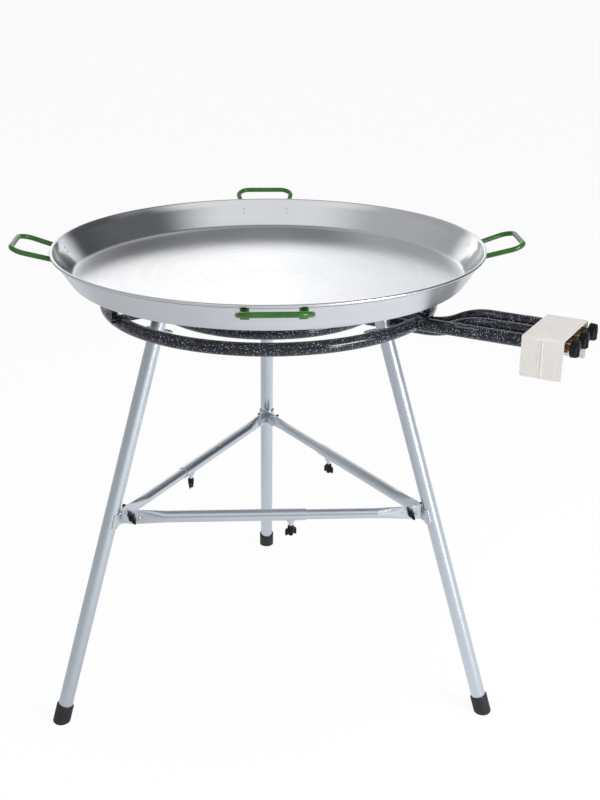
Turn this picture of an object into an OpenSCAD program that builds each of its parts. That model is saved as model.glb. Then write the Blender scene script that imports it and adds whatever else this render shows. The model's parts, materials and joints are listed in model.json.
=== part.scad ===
// Paella burner stand: a three-ring gas burner on a braced tripod with a lift-off pan.
// Origin on the floor under the middle of the burner, +Z up, +X towards the taps' side.

/* [Burner rings] */
// Outside diameter of the outer ring
outer_ring_d = 700; // [690:2:740]
// Outside diameter of the middle ring
middle_ring_d = 474; // [440:2:480]
// Outside diameter of the inner ring
inner_ring_d = 262; // [256:2:276]
// Diameter of the ring and feed tubes
ring_tube = 26; // [24:0.5:27]
// Wall of the ring and feed tubes
ring_wall = 1.5; // [1.2:0.1:2.5]
// Height of the outer ring's centre line above the floor
ring_h = 855; // [780:5:900]
// How much lower the middle and inner rings sit
ring_drop = 5; // [2:0.5:7]
// Diameter of one gas port
port_d = 2.6; // [2:0.1:3.2]
// Gas ports in the outer ring
outer_ports = 48; // [24:2:60]
// Gas ports in the middle ring
middle_ports = 32; // [16:2:40]
// Gas ports in the inner ring
inner_ports = 16; // [8:2:20]

/* [Support arms] */
// Thickness of the flat bar of an arm
arm_t = 6; // [5:0.5:8]
// Height of the flat bar of an arm
arm_h = 14; // [12:1:20]
// How deep the outer ring sits in an arm's notch
arm_notch = 10; // [8:0.5:11]
// Radial width of a pan rest
rest_w = 12; // [8:1:16]
// How far an arm reaches past the outer ring's centre line
rest_out = 21; // [17:1:24]
// Height of the pan rests above the top of the outer ring
rest_rise = 43; // [36:1:56]

/* [Pan] */
// Diameter over the rolled rim
pan_d = 888; // [860:2:960]
// Diameter of the flat floor, measured outside
pan_floor_d = 807; // [780:1:820]
// Depth inside, from the floor to the top of the rim
pan_depth = 59; // [52:1:72]
// Sheet thickness of the pan
pan_wall = 1.5; // [1.2:0.1:2.5]
// Diameter of the rolled rim
pan_lip = 6; // [5:0.5:7]
// Inside bend radius between floor and wall
pan_bend = 12; // [8:1:18]
// Diameter of a spot-weld dimple in the wall
weld_d = 5; // [3:0.5:7]
// Depth of a spot-weld dimple
weld_depth = 0.5; // [0.3:0.1:0.7]

/* [Handles] */
// Diameter of the handle rod
handle_rod = 10.5; // [9:0.5:12.5]
// Overall width of a handle
handle_w = 136; // [128:1:150]
// Distance from the rim to the middle of the grip bar
handle_reach = 74; // [68:1:86]
// Bend radius of the rod's two corners
handle_bend = 26; // [18:1:30]
// Inward lean of the handle's two sides, in degrees
handle_toe = 10; // [4:1:14]
// Height of the middle of the grip bar above the rim
handle_up = 6; // [0:1:10]
// How far below the rim the rod meets the wall
handle_low = 20; // [20:1:28]
// Width of the flattened foot of the rod
tab_w = 16; // [14:1:20]
// Thickness of the flattened foot
tab_t = 3; // [2:0.5:4]
// Height of the flattened foot
tab_h = 24; // [20:1:25]

/* [Legs] */
// Diameter of the leg tube
leg_d = 30; // [28:0.5:32]
// Wall of the leg tube
leg_wall = 1.5; // [1.2:0.1:2.5]
// Splay of the legs from upright, in degrees
leg_splay = 17.4; // [14:0.2:19]
// Distance from the arm's underside down to the middle of the leg's top end
leg_top_gap = 10; // [8:1:20]
// Gap between the leg and the middle ring, at the middle ring's height
leg_ring_gap = 2.4; // [2:0.2:8]
// How far the peg reaches into the leg, along the leg
peg_depth = 70; // [55:1:100]
// Clearance of the peg in the leg, per side
peg_gap = 0.1; // [0.05:0.05:0.25]
// Diameter of the rubber foot
foot_d = 36; // [34.5:0.5:42]
// Height of the rubber foot's rim, along the leg
foot_h = 38; // [32:1:50]
// Thickness of rubber under the end of the leg, along the leg
foot_sole = 12; // [10:0.5:16]
// Rounding of the foot's lower edge
foot_round = 5; // [3:0.5:6]

/* [Locking clips] */
// Wire diameter of a hairpin clip
clip_wire = 4; // [3:0.25:4.5]
// Distance from the leg's top end down to the clip, along the leg
clip_down = 21; // [16:1:30]
// How far the clip's eye stands in from the leg's axis
clip_eye = 30; // [26:1:36]
// How far the clip's tip stands out from the leg's axis
clip_tip = 21; // [19:1:26]
// Clearance of the clip's wire in its hole, per side
clip_gap = 0.08; // [0.05:0.01:0.1]
// Clearance between the clip's outer prong and the leg
clip_side_gap = 0.4; // [0.3:0.1:1]

/* [Braces] */
// Height of the brace tubes' centre line above the floor
brace_h = 441; // [380:1:520]
// Diameter of the outer brace tube
brace_d = 25; // [24:0.5:28]
// Wall of the outer brace tube
brace_wall = 1.75; // [1.5:0.05:2.2]
// Clearance of the inner tube in the outer tube, per side
slide_gap = 0.05; // [0.02:0.01:0.1]
// How far the outer tube reaches past the middle of the brace
brace_past = 70; // [58:1:85]
// How far the inner tube reaches into the outer tube
brace_lap = 115; // [100:1:130]
// Thickness of a tube's flattened end
flat_t = 3.5; // [3:0.1:4]
// Height of the outer tube's flattened end
flat_h = 31; // [28:1:34]
// Length over which a tube is squeezed flat
squeeze = 58; // [40:1:64]

/* [Leg brackets] */
// Thickness of the bracket plate
wing_t = 3; // [2.5:0.1:4]
// Height of the bracket plate
wing_h = 31; // [28:1:36]
// How far a bracket plate stands in from the leg's axis
wing_inset = 12; // [8:1:13]
// Reach of the bracket plate from the leg's axis, along its brace
wing_reach = 54; // [53:1:60]
// Distance of the brace bolt from the leg's axis
bolt_reach = 43; // [42:1:46]
// Diameter of the brace bolt
bolt_d = 8; // [7:0.5:8.5]
// Clearance between faces that lie against each other
face_gap = 0.1; // [0.05:0.01:0.2]
// Clearance round a fixed bolt or tube, per side
hole_gap = 0.15; // [0.1:0.05:0.3]

/* [Wing nuts and clamp screws] */
// Diameter of a wing nut's hub
nut_hub = 14; // [13:0.5:16]
// Height of a wing nut's hub
nut_h = 10; // [8:0.5:12]
// Overall width of a wing nut
nut_w = 32; // [28:0.5:36]
// Thickness of a wing
nut_wing = 4.5; // [3.5:0.25:6]
// Running clearance of a screw thread, per side
thread_gap = 0.05; // [0.02:0.01:0.1]
// Distance of the clamp screw from the outer tube's end
clamp_back = 31; // [24:1:40]
// Diameter of the clamp screw
clamp_d = 8; // [6:0.5:9]
// Depth of the raised seat round the clamp screw
clamp_seat = 5; // [4:0.5:8]
// Width of the raised seat's rim round the clamp screw
seat_rim = 3; // [2:0.5:5]
// How much wider the seat is at the tube
seat_flare = 4; // [2:0.5:5]
// Length of bare screw between the seat and the clamp knob
clamp_bare = 8; // [5:0.5:10]
// Overall width of the clamp knob
clamp_w = 27; // [25:0.5:34]
// Height of the clamp knob's hub
clamp_h = 22; // [16:0.5:24]

/* [Feed tubes and taps] */
// Turn of the feed tubes from the right leg, in degrees
feed_turn = 1.2; // [1:0.1:1.6]
// Sideways place of the outer ring's feed tube
feed_first = -12; // [-16:1:-11]
// Spacing of the feed tubes and taps
feed_pitch = 58; // [54:1:60]
// Length of the double bend with which a feed tube dips under the outer ring
bend_run = 130; // [110:1:145]
// Distance from the outer ring to the tap cover
feed_bare = 210; // [190:1:230]
// Clearance between a ring and a tube that passes under it
pass_gap = 1.5; // [1:0.25:3]
// How far the feed tubes reach into the tap cover
feed_in = 24; // [16:1:28]
// Length of the tap cover along the tubes
box_l = 81; // [76:1:90]
// Height of the tap cover's skirts
box_h = 79; // [70:1:86]
// Sheet thickness of the tap cover
box_t = 1.5; // [1.2:0.1:2]
// Room between the outermost tubes and the cover's skirts
box_room = 5.5; // [4:0.5:9]
// Bend radius of the tap cover's folded edges
box_bend = 4; // [3:0.5:6]
// Corner radius at the bottom of the skirts
box_corner = 4; // [3:0.5:10]
// Height of the gas bar
bar_h = 30; // [29:0.5:34]
// Width of the gas bar along the tubes
bar_w = 24; // [20:1:28]
// Distance from the tap cover's near end to the gas bar
bar_in = 42; // [40:1:45]
// Diameter of a tap body
tap_d = 16; // [14:0.5:18]
// Diameter of a tap's nose
nose_d = 13; // [11:0.5:15]
// How far a tap's nose stands out of the cover
nose_out = 7; // [5:0.5:10]
// Diameter of a tap's spindle
spindle_d = 6; // [5:0.5:8]
// Diameter of a control knob
knob_d = 35; // [32:0.5:40]
// Thickness of a control knob
knob_t = 16; // [14:0.5:20]
// Gap between a knob and its tap's nose
knob_gap = 1.5; // [1:0.25:3]
// Flutes round a control knob
knob_flutes = 12; // [8:1:16]
// Diameter of the hose tail
hose_d = 9; // [8:0.5:10]
// Length of the hose tail
hose_l = 32; // [26:1:40]

/* [Hidden] */
$fn = 48;
// More than the size of anything that is cut
far = 2000;
// Overshoot of a cut past the face it opens
over = 1;
// Step and overlap, in degrees, where a bend runs into a straight stretch
seam = 0.02;
seam_turn = 1;
ring_r = ring_tube / 2;
bore_r = ring_r - ring_wall;
outer_R = outer_ring_d / 2 - ring_r;
middle_R = middle_ring_d / 2 - ring_r;
inner_R = inner_ring_d / 2 - ring_r;
low_ring_h = ring_h - ring_drop;
// Lean of the gas ports from upright and the turn of their drill, in degrees
port_lean = 45;
port_spin = 37;
arm_z = ring_h + ring_r - arm_notch;
rest_z = ring_h + ring_r + rest_rise;
arm_in = inner_R - rest_w / 2;
arm_out = outer_R + rest_out;
leg_azimuths = [210, 330, 90];
feed_az = leg_azimuths[1] - feed_turn;

lip_r = pan_lip / 2;
lip_R = pan_d / 2 - lip_r;
rim_z = rest_z + pan_wall + pan_depth;
floor_R = pan_floor_d / 2;
wall_rise = pan_wall + pan_depth - lip_r;
wall_angle = atan2(wall_rise, lip_R - floor_R);
bend_out = pan_bend + pan_wall;
bend_c = [floor_R - bend_out * tan(wall_angle / 2), bend_out];
bend_steps = 8;

rod_r = handle_rod / 2;
grip_R = pan_d / 2 + handle_reach;
grip_half = handle_w / 2 - rod_r - handle_bend;
joint_z = rim_z - handle_low;
joint_R = floor_R + (joint_z - rest_z) / tan(wall_angle);
handle_tilt = atan2(handle_low + handle_up, grip_R - joint_R);
side_start = [-handle_bend * (1 + sin(handle_toe)), grip_half + handle_bend * cos(handle_toe)];
side_l = ((grip_R - joint_R) / cos(handle_tilt) + side_start[0]) / cos(handle_toe);
tab_y = side_start[1] - side_l * sin(handle_toe);
handle_azimuths = [270, 0, 90, 180];
// Heights of the two spot welds of a foot, below the rim
weld_lows = [handle_low + 1, handle_low + 9];

leg_r = leg_d / 2;
leg_in = leg_r - leg_wall;
socket_R = middle_ring_d / 2 + leg_ring_gap + leg_r / cos(leg_splay);
foot_R = socket_R + tan(leg_splay) * low_ring_h;
leg_top = (arm_z - leg_top_gap) / cos(leg_splay);
leg_end = foot_sole;
clip_s = leg_top - clip_down;
clip_r = clip_wire / 2;
clip_y = leg_r + clip_side_gap + clip_r;
// How much shorter the clip's outer prong is
clip_short = 8;
clip_over = clip_tip - clip_short;

brace_leg_R = foot_R - tan(leg_splay) * brace_h;
half_span = brace_leg_R * cos(30);
chord_y = wing_inset - brace_leg_R * sin(30);
brace_y = chord_y - wing_t / 2 - face_gap - flat_t / 2;
bolt_x = half_span - bolt_reach;
brace_r = brace_d / 2;
brace_in_r = brace_r - brace_wall;
slide_r = brace_in_r - slide_gap;
slide_flat_h = flat_h - 2 * (brace_r - slide_r);
// Distance from the bracket plate's end to the squeezed stretch
flat_past = 1.5;
// Overlap where a tube runs into its squeezed stretch
join = 0.5;
// How much the squeezed stretch swells in height at its middle
squeeze_swell = 0.6;
flat_x = half_span - wing_reach - flat_past;
tube_x = flat_x - squeeze;
// Crimp mark on the front of a squeezed stretch
crimp_in = 6;
crimp_r = 4;
crimp_depth = 1.4;
clamp_x = brace_past - clamp_back;
bolt_r = bolt_d / 2;
nut_y = brace_y - flat_t / 2 - face_gap;
// Bolt head, and how far the bolt ends inside its nut
head_h = 5;
head_r = bolt_r + 2.5;
bolt_short = 1.5;
// Turn of the wings at rest, in degrees
nut_turn = -58;
clamp_turn = 20;
// How far the wings stand clear of the hub's seat
wing_lift = 2.5;
// Corner radius of a bracket plate
wing_corner = 5;
clamp_r = clamp_d / 2;
seat_z = brace_h - brace_r - clamp_seat;
// Gap between the clamp screw's tip and the inner tube at rest
tip_gap = 0.3;
clamp_tip_z = brace_h - slide_r - tip_gap;
clamp_knob_z = seat_z - clamp_bare - clamp_h;
// How far the clamp screw stops short of the knob's end
screw_short = 1;
brace_azimuths = [0, 120, 240];

tube_z = ring_h;
feed_ys = [feed_first, feed_first + feed_pitch, feed_first + 2 * feed_pitch];
pass_middle = ring_tube + pass_gap;
pass_inner = ring_tube + pass_gap + ring_drop;
box_mid = feed_ys[1];
box_half = feed_pitch + ring_r + box_room + box_t;
box_under = tube_z + bar_h / 2 + face_gap;
box_top = box_under + box_t;
box_bottom = box_top - box_h;
box_at = outer_ring_d / 2 + feed_bare;
feed_end = box_at + feed_in;
box_end = box_at + box_l;
// Bead pressed up the middle of each skirt
bead_r = 1;
bar_at = box_at + bar_in;
// Room between the gas bar's ends and the skirts, clear of the folded edges
bar_room = box_bend;
bar_half = box_half - box_t - bar_room;
tap_r = tap_d / 2;
// Tap body behind the gas bar, its collar, and its low-flame screw
tap_back = 8;
tap_start = bar_at - tap_back;
collar_t = 4;
collar_rim = 3;
flame_screw_r = 2;
flame_screw_out = 2;
// Injector: reach into the feed tube, tip and root radius
jet_in = 6;
jet_tip_r = 3;
jet_root_r = 6;
nose_end = box_end + nose_out;
knob_at = nose_end + knob_gap;
spindle_r = spindle_d / 2;
// How far the spindle reaches into the tap and into the knob
spindle_in = 14;
spindle_out = knob_t - 5;
spindle_l = spindle_in + knob_gap + spindle_out;
// Knob face, pointer bar and flutes
pointer_h = 3;
pointer_w = 5;
pointer_short = 2;
flute_r = 2.4;
// Plate that holds the feed tubes
plate_in = 8;
plate_at = box_at + plate_in;
plate_t = 4;
hose_r = hose_d / 2;
// Shoulder of the hose tail and the room round it in the skirt
neck_r = hose_r + 3;
neck_past = 3;
neck_room = 1.5;

// Ring of round section, centred on the axis at height z
module torus(R, r, z) {
    translate([0, 0, z])
        rotate_extrude()
            translate([R, 0])
                circle(r);
}

// Round bar along X from x0 to x1
module bar_x(r, x0, x1) {
    translate([x0, 0, 0])
        rotate([0, 90, 0])
            cylinder(r = r, h = x1 - x0);
}

// Round bar along Y from y0 to y1
module bar_y(r, y0, y1) {
    translate([0, y1, 0])
        rotate([90, 0, 0])
            cylinder(r = r, h = y1 - y0);
}

// Plate in the XZ plane with rounded corners, thickness t along Y about y = 0
module round_plate(x0, x1, z0, z1, t, r) {
    translate([x0 + r, -t / 2, z0])
        cube([x1 - x0 - 2 * r, t, z1 - z0]);
    translate([x0, -t / 2, z0 + r])
        cube([x1 - x0, t, z1 - z0 - 2 * r]);
    for (x = [x0 + r, x1 - r])
        for (z = [z0 + r, z1 - r])
            translate([x, 0, z])
                bar_y(r, -t / 2, t / 2);
}

// Frame of a leg: Z along the leg from the floor, X outwards
module leg_frame(az) {
    rotate([0, 0, az])
        translate([foot_R, 0, 0])
            rotate([0, -leg_splay, 0])
                children();
}

// Frame of the feed tubes: X along the tubes, Y across them
module feed_frame() {
    rotate([0, 0, feed_az])
        children();
}

// Profile of the pan sheet, from the axis out along the underside and back inside
function bend_arc(r, from, to) = [
    for (i = [0 : bend_steps])
        let (a = from + (to - from) * i / bend_steps)
            bend_c + r * [sin(a), -cos(a)]
];

module pan_sheet() {
    lip = [lip_R, wall_rise];
    polygon(concat(
        [[0, 0]],
        bend_arc(bend_out, 0, wall_angle),
        [lip, lip + pan_wall * [-sin(wall_angle), cos(wall_angle)]],
        bend_arc(pan_bend, wall_angle, 0),
        [[0, pan_wall]]
    ));
}

// Solid cone that fills the pan's outside, grown by g
module pan_cone(g) {
    translate([0, 0, rest_z])
        rotate_extrude()
            polygon([
                [0, -handle_low],
                [floor_R + g / sin(wall_angle) - handle_low / tan(wall_angle), -handle_low],
                [lip_R + g / sin(wall_angle), wall_rise],
                [0, wall_rise]
            ]);
}

module pan_body() {
    color("gainsboro")
        difference() {
            union() {
                translate([0, 0, rest_z])
                    rotate_extrude()
                        pan_sheet();
                torus(lip_R, lip_r, rim_z - lip_r);
            }
            weld_dimples();
        }
}

// Shallow dimples that the spot welds leave inside the wall
module weld_dimples() {
    ball = (weld_d * weld_d / 4 + weld_depth * weld_depth) / (2 * weld_depth);
    lean = 90 - wall_angle;
    for (az = handle_azimuths)
        for (side = [-1, 1])
            for (low = weld_lows) {
                wall_R = floor_R + (rim_z - low - rest_z) / tan(wall_angle);
                rotate([0, 0, az + side * atan2(tab_y, joint_R)])
                    translate([wall_R, 0, rim_z - low])
                        rotate([0, -90 + lean, 0])
                            translate([0, 0, pan_wall + ball - weld_depth])
                                sphere(ball);
            }
}

// Bent rod with two flattened feet that lie on the pan's wall
module pan_handle(az) {
    color("forestgreen")
        rotate([0, 0, az])
            difference() {
                union() {
                    translate([grip_R, 0, rim_z + handle_up])
                        rotate([0, -handle_tilt, 0])
                            handle_rod_shape();
                    handle_feet();
                }
                pan_cone(face_gap);
            }
}

module handle_rod_shape() {
    bar_y(rod_r, -grip_half, grip_half);
    for (side = [0, 1])
        mirror([0, side, 0]) {
            translate([-handle_bend, grip_half, 0])
                rotate([0, 0, -seam_turn])
                    rotate_extrude(angle = 90 + handle_toe + 2 * seam_turn)
                        translate([handle_bend, 0])
                            circle(rod_r - seam);
            translate([side_start[0], side_start[1], 0])
                rotate([0, 0, handle_toe])
                    bar_x(rod_r, -side_l - rod_r, 0);
        }
}

module handle_feet() {
    intersection() {
        pan_cone(face_gap + tab_t);
        for (side = [-1, 1])
            translate([0, side * tab_y - tab_w / 2, joint_z - tab_h / 2])
                cube([far, tab_w, tab_h]);
    }
}

// Ring tube with a row of gas ports on its inner upper side
module burner_ring(R, z, ports) {
    color([0.10, 0.11, 0.14])
        difference() {
            torus(R, ring_r, z);
            torus(R, bore_r, z);
            for (i = [0 : ports - 1])
                rotate([0, 0, (i + 0.5) * 360 / ports])
                    translate([R, 0, z])
                        rotate([0, -port_lean, 0])
                            rotate([0, 0, port_spin])
                                cylinder(d = port_d, h = ring_r + over);
        }
}

// Straight feed tube that meets the outer ring at its own level
module feed_tube_outer() {
    start = sqrt(outer_R * outer_R - feed_ys[0] * feed_ys[0]);
    color([0.10, 0.11, 0.14])
        difference() {
            feed_frame()
                translate([0, feed_ys[0], tube_z])
                    difference() {
                        bar_x(ring_r, start, feed_end);
                        bar_x(bore_r, start + 2 * ring_r, feed_end + over);
                    }
            torus(outer_R, ring_r + face_gap, ring_h);
        }
}

// Solid along a feed tube's path: low stretch, double bend, high stretch
module feed_path(r, drop, low_x, x_in, x_out) {
    turn = 2 * atan2(drop, bend_run);
    R = bend_run / (2 * sin(turn));
    lap = acos(1 - seam / (2 * R));
    bend_at = low_x + bend_run;
    translate([0, 0, tube_z])
        bar_x(r, bend_at, x_out);
    translate([bend_at, 0, tube_z - R])
        rotate([90, 0, 0])
            rotate([0, 0, 90 - lap])
                rotate_extrude(angle = turn + lap)
                    translate([R, 0])
                        circle(r - seam);
    translate([low_x, 0, tube_z - drop + R])
        rotate([90, 0, 0])
            rotate([0, 0, 270 - lap])
                rotate_extrude(angle = turn + 1.5 * lap)
                    translate([R, 0])
                        circle(r - 2 * seam);
    translate([0, 0, tube_z - drop])
        bar_x(r, x_in, low_x);
}

// Feed tube that dips under the outer ring and ends in a stub under its own ring
module low_feed_tube(y, drop, R) {
    reach = sqrt(R * R - y * y);
    low_x = sqrt(outer_R * outer_R - y * y);
    x_in = reach - ring_r - ring_wall;
    stub_r = ring_r - 3 * ring_wall;
    color([0.10, 0.11, 0.14])
        difference() {
            feed_frame()
                translate([0, y, 0]) {
                    difference() {
                        feed_path(ring_r, drop, low_x, x_in, feed_end);
                        feed_path(bore_r, drop, low_x, reach + 2 * ring_r, feed_end + over);
                    }
                    translate([reach, 0, tube_z - drop])
                        cylinder(r = stub_r, h = low_ring_h - tube_z + drop);
                }
            torus(R, ring_r + face_gap, low_ring_h);
        }
}

// Flat bar across the three rings with an upstanding pan rest over each ring
module support_arm(az) {
    color([0.10, 0.11, 0.14])
        rotate([0, 0, az])
            difference() {
                union() {
                    translate([arm_in, -arm_t / 2, arm_z])
                        cube([arm_out - arm_in, arm_t, arm_h]);
                    for (x = [inner_R - rest_w / 2, middle_R - rest_w / 2, arm_out - rest_w])
                        translate([x, -arm_t / 2, arm_z])
                            cube([rest_w, arm_t, rest_z - arm_z]);
                }
                for (p = [[outer_R, ring_h], [middle_R, low_ring_h], [inner_R, low_ring_h]])
                    translate([p[0], 0, p[1]])
                        bar_y(ring_r + hole_gap, -arm_t, arm_t);
            }
}

// Slanted pegs under the arms that the legs slip over
module leg_pegs() {
    color([0.10, 0.11, 0.14])
        for (az = leg_azimuths)
            difference() {
                leg_frame(az)
                    difference() {
                        translate([0, 0, leg_top - peg_depth])
                            cylinder(r = leg_in - peg_gap, h = peg_depth + far / 4);
                        translate([0, 0, clip_s])
                            bar_x(clip_r + clip_gap, -leg_d, leg_d);
                    }
                translate([-far / 2, -far / 2, arm_z])
                    cube(far);
            }
}

module leg(az) {
    color("lightsteelblue")
        leg_frame(az)
            difference() {
                translate([0, 0, leg_end])
                    cylinder(r = leg_r, h = leg_top - leg_end);
                translate([0, 0, leg_end - over])
                    cylinder(r = leg_in, h = leg_top - leg_end + 2 * over);
                translate([0, 0, clip_s])
                    bar_x(clip_r + clip_gap, -leg_d, leg_d);
            }
}

// Rubber cap over a leg's lower end, cut level at the floor
module foot(az) {
    foot_r = foot_d / 2;
    base = -foot_r * tan(leg_splay);
    color([0.09, 0.09, 0.10])
        difference() {
            leg_frame(az)
                difference() {
                    union() {
                        translate([0, 0, base + foot_round])
                            cylinder(r = foot_r, h = foot_h - base - foot_round);
                        translate([0, 0, base])
                            cylinder(r = foot_r - foot_round, h = foot_h - base);
                        torus(foot_r - foot_round, foot_round, base + foot_round);
                    }
                    translate([0, 0, leg_end - face_gap])
                        cylinder(r = leg_r + face_gap, h = foot_h);
                }
            translate([-far / 2, -far / 2, -far])
                cube(far);
        }
}

// Hairpin clip: one prong through the leg, one beside it, joined by an eye
module clip(az) {
    color("silver")
        leg_frame(az)
            translate([0, 0, clip_s]) {
                bar_x(clip_r, -clip_eye, clip_tip);
                translate([clip_tip, 0, 0])
                    sphere(clip_r);
                translate([-clip_eye, -clip_y / 2, 0])
                    rotate([0, 0, 90 - seam_turn])
                        rotate_extrude(angle = 180 + 2 * seam_turn)
                            translate([clip_y / 2, 0])
                                circle(clip_r - seam);
                translate([0, -clip_y, 0])
                    bar_x(clip_r, -clip_eye, clip_over);
                translate([clip_over, -clip_y, 0])
                    sphere(clip_r);
            }
}

// One bracket plate, parallel to its brace, in the frame of the front brace
module bracket_wing(side) {
    difference() {
        translate([0, chord_y, 0])
            mirror([side < 0 ? 1 : 0, 0, 0])
                round_plate(half_span - wing_reach, half_span, brace_h - wing_h / 2,
                    brace_h + wing_h / 2, wing_t, wing_corner);
        translate([side * bolt_x, chord_y, brace_h])
            bar_y(bolt_r + hole_gap, -wing_t, wing_t);
    }
}

// Two plates on a saddle that is welded round the inner side of a leg
module leg_bracket(az) {
    mid_s = brace_h / cos(leg_splay);
    color("lightsteelblue")
        difference() {
            union() {
                rotate([0, 0, az - 210])
                    bracket_wing(-1);
                rotate([0, 0, az - 330])
                    bracket_wing(1);
                leg_frame(az)
                    intersection() {
                        translate([0, 0, mid_s - wing_h / 2])
                            cylinder(r = leg_r + wing_t, h = wing_h);
                        translate([-far, -far / 2, 0])
                            cube(far);
                    }
            }
            leg_frame(az)
                translate([0, 0, mid_s - far / 2])
                    cylinder(r = leg_r + face_gap, h = far);
        }
}

// Thin oval slice across X, of half thickness t along Y and half height h along Z
module oval_slice(x, t, h) {
    translate([x, 0, 0])
        rotate([0, 90, 0])
            scale([h / t, 1, 1])
                cylinder(r = t, h = join, $fn = 32);
}

// Half thickness of a squeezed stretch at its middle, for a tube of radius r
function squeezed(r) = (2 * r + flat_t) / 4;

// Flattened end of a tube along X: squeezed stretch and a plate with a round tip
module flat_end(r, h) {
    mid_x = (tube_x + flat_x) / 2;
    mid_t = squeezed(r);
    mid_h = (2 * r + h) / 4 + squeeze_swell;
    hull() {
        oval_slice(tube_x, r, r);
        oval_slice(mid_x, mid_t, mid_h);
    }
    hull() {
        oval_slice(mid_x, mid_t, mid_h);
        translate([flat_x - join, -flat_t / 2, -h / 2])
            cube([join, flat_t, h]);
    }
    translate([flat_x - join / 2, -flat_t / 2, -h / 2])
        cube([bolt_x - flat_x + join / 2, flat_t, h]);
    translate([bolt_x, 0, 0])
        bar_y(h / 2, -flat_t / 2, flat_t / 2);
}

// Ball that presses the crimp mark into the front of a squeezed stretch
module crimp(r) {
    front = flat_t / 2 + (squeezed(r) - flat_t / 2) * 2 * crimp_in / squeeze;
    translate([flat_x - crimp_in, crimp_depth - crimp_r - front, 0])
        sphere(crimp_r, $fn = 24);
}

module brace_outer(az) {
    color("lightsteelblue")
        rotate([0, 0, az])
            translate([0, brace_y, brace_h])
                difference() {
                    union() {
                        bar_x(brace_r, -tube_x - join / 2, brace_past);
                        mirror([1, 0, 0])
                            flat_end(brace_r, flat_h);
                        translate([clamp_x, 0, -brace_r - clamp_seat])
                            cylinder(r1 = clamp_r + seat_rim, r2 = clamp_r + seat_rim + seat_flare,
                                h = clamp_seat + brace_r / 2);
                    }
                    bar_x(brace_in_r, -tube_x + over, brace_past + over);
                    translate([clamp_x, 0, -brace_d - clamp_seat])
                        cylinder(r = clamp_r + thread_gap, h = brace_d + clamp_seat);
                    translate([-bolt_x, 0, 0])
                        bar_y(bolt_r + hole_gap, -flat_t, flat_t);
                    mirror([1, 0, 0])
                        crimp(brace_r);
                }
}

// Inner tube, with a slot in its flattened end that opens towards the leg
module brace_inner(az) {
    slot = bolt_r + hole_gap;
    color("lightsteelblue")
        rotate([0, 0, az])
            translate([0, brace_y, brace_h])
                difference() {
                    union() {
                        bar_x(slide_r, brace_past - brace_lap, tube_x + join / 2);
                        flat_end(slide_r, slide_flat_h);
                    }
                    bar_x(slide_r - brace_wall, brace_past - brace_lap - over, tube_x - over);
                    translate([bolt_x, 0, 0])
                        bar_y(slot, -flat_t, flat_t);
                    translate([bolt_x, -flat_t, -slot])
                        cube([slide_flat_h, 2 * flat_t, 2 * slot]);
                    crimp(slide_r);
                }
}

// Bolts through the brackets, with heads inside and threads outside
module brace_bolts() {
    tail = nut_y - nut_h + bolt_short;
    color("silver")
        for (az = brace_azimuths)
            for (side = [-1, 1])
                rotate([0, 0, az])
                    translate([side * bolt_x, 0, brace_h]) {
                        bar_y(bolt_r, tail, chord_y + wing_t / 2);
                        bar_y(head_r, chord_y + wing_t / 2, chord_y + wing_t / 2 + head_h);
                    }
}

// Hub with two wings along X, standing on z = 0, bored for a screw of radius r
module winged_hub(width, hub_r, h, r) {
    tip_r = h / 2 - wing_lift / 2;
    tip_x = width / 2 - tip_r;
    difference() {
        union() {
            cylinder(r = hub_r, h = h);
            for (side = [0, 1])
                mirror([side, 0, 0]) {
                    translate([tip_x, 0, h - tip_r + wing_lift])
                        bar_y(tip_r, -nut_wing / 2, nut_wing / 2);
                    translate([0, -nut_wing / 2, wing_lift])
                        cube([tip_x, nut_wing, h - wing_lift]);
                }
        }
        translate([0, 0, -over])
            cylinder(r = r, h = h * 2);
    }
}

module wing_nut(az, side) {
    color([0.08, 0.08, 0.09])
        rotate([0, 0, az])
            translate([side * bolt_x, nut_y, brace_h])
                rotate([90, 0, 0])
                    rotate([0, 0, nut_turn])
                        winged_hub(nut_w, nut_hub / 2, nut_h, bolt_r + thread_gap);
}

module clamp_knob(az) {
    color([0.08, 0.08, 0.09])
        rotate([0, 0, az])
            translate([clamp_x, brace_y, clamp_knob_z + clamp_h])
                rotate([180, 0, clamp_turn])
                    winged_hub(clamp_w, nut_hub / 2, clamp_h, clamp_r);
}

module clamp_screw(az) {
    color("silver")
        rotate([0, 0, az])
            translate([clamp_x, brace_y, clamp_knob_z + screw_short])
                cylinder(r = clamp_r, h = clamp_tip_z - clamp_knob_z - screw_short);
}

// Folded sheet cover: a top with a skirt down each side, open at both ends
module tap_cover() {
    color([0.89, 0.86, 0.83])
        feed_frame()
            translate([0, box_mid, 0])
                difference() {
                    union() {
                        cover_block(0);
                        for (side = [-1, 1])
                            translate([box_at + box_l / 2, side * box_half, box_bottom])
                                cylinder(r = bead_r, h = box_h - box_bend);
                    }
                    cover_block(box_t);
                    for (side = [-1, 1])
                        skirt_corners(side);
                    translate([bar_at + bar_w / 2, 0, tube_z])
                        bar_y(neck_r + neck_room, box_half / 2, box_half + bead_r + over);
                }
}

// Cover block with rounded top edges, shrunk by g inside the sheet
module cover_block(g) {
    half = box_half - g;
    top = box_top - g;
    low = box_bottom - (g > 0 ? over : 0);
    r = box_bend - (g > 0 ? g : 0);
    x0 = box_at - (g > 0 ? over : 0);
    l = box_l + (g > 0 ? 2 * over : 0);
    translate([x0, -half, low])
        cube([l, 2 * half, top - r - low]);
    translate([x0, -half + r, low])
        cube([l, 2 * (half - r), top - low]);
    for (side = [-1, 1])
        translate([x0, side * (half - r), top - r])
            rotate([0, 90, 0])
                cylinder(r = r, h = l);
}

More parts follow.
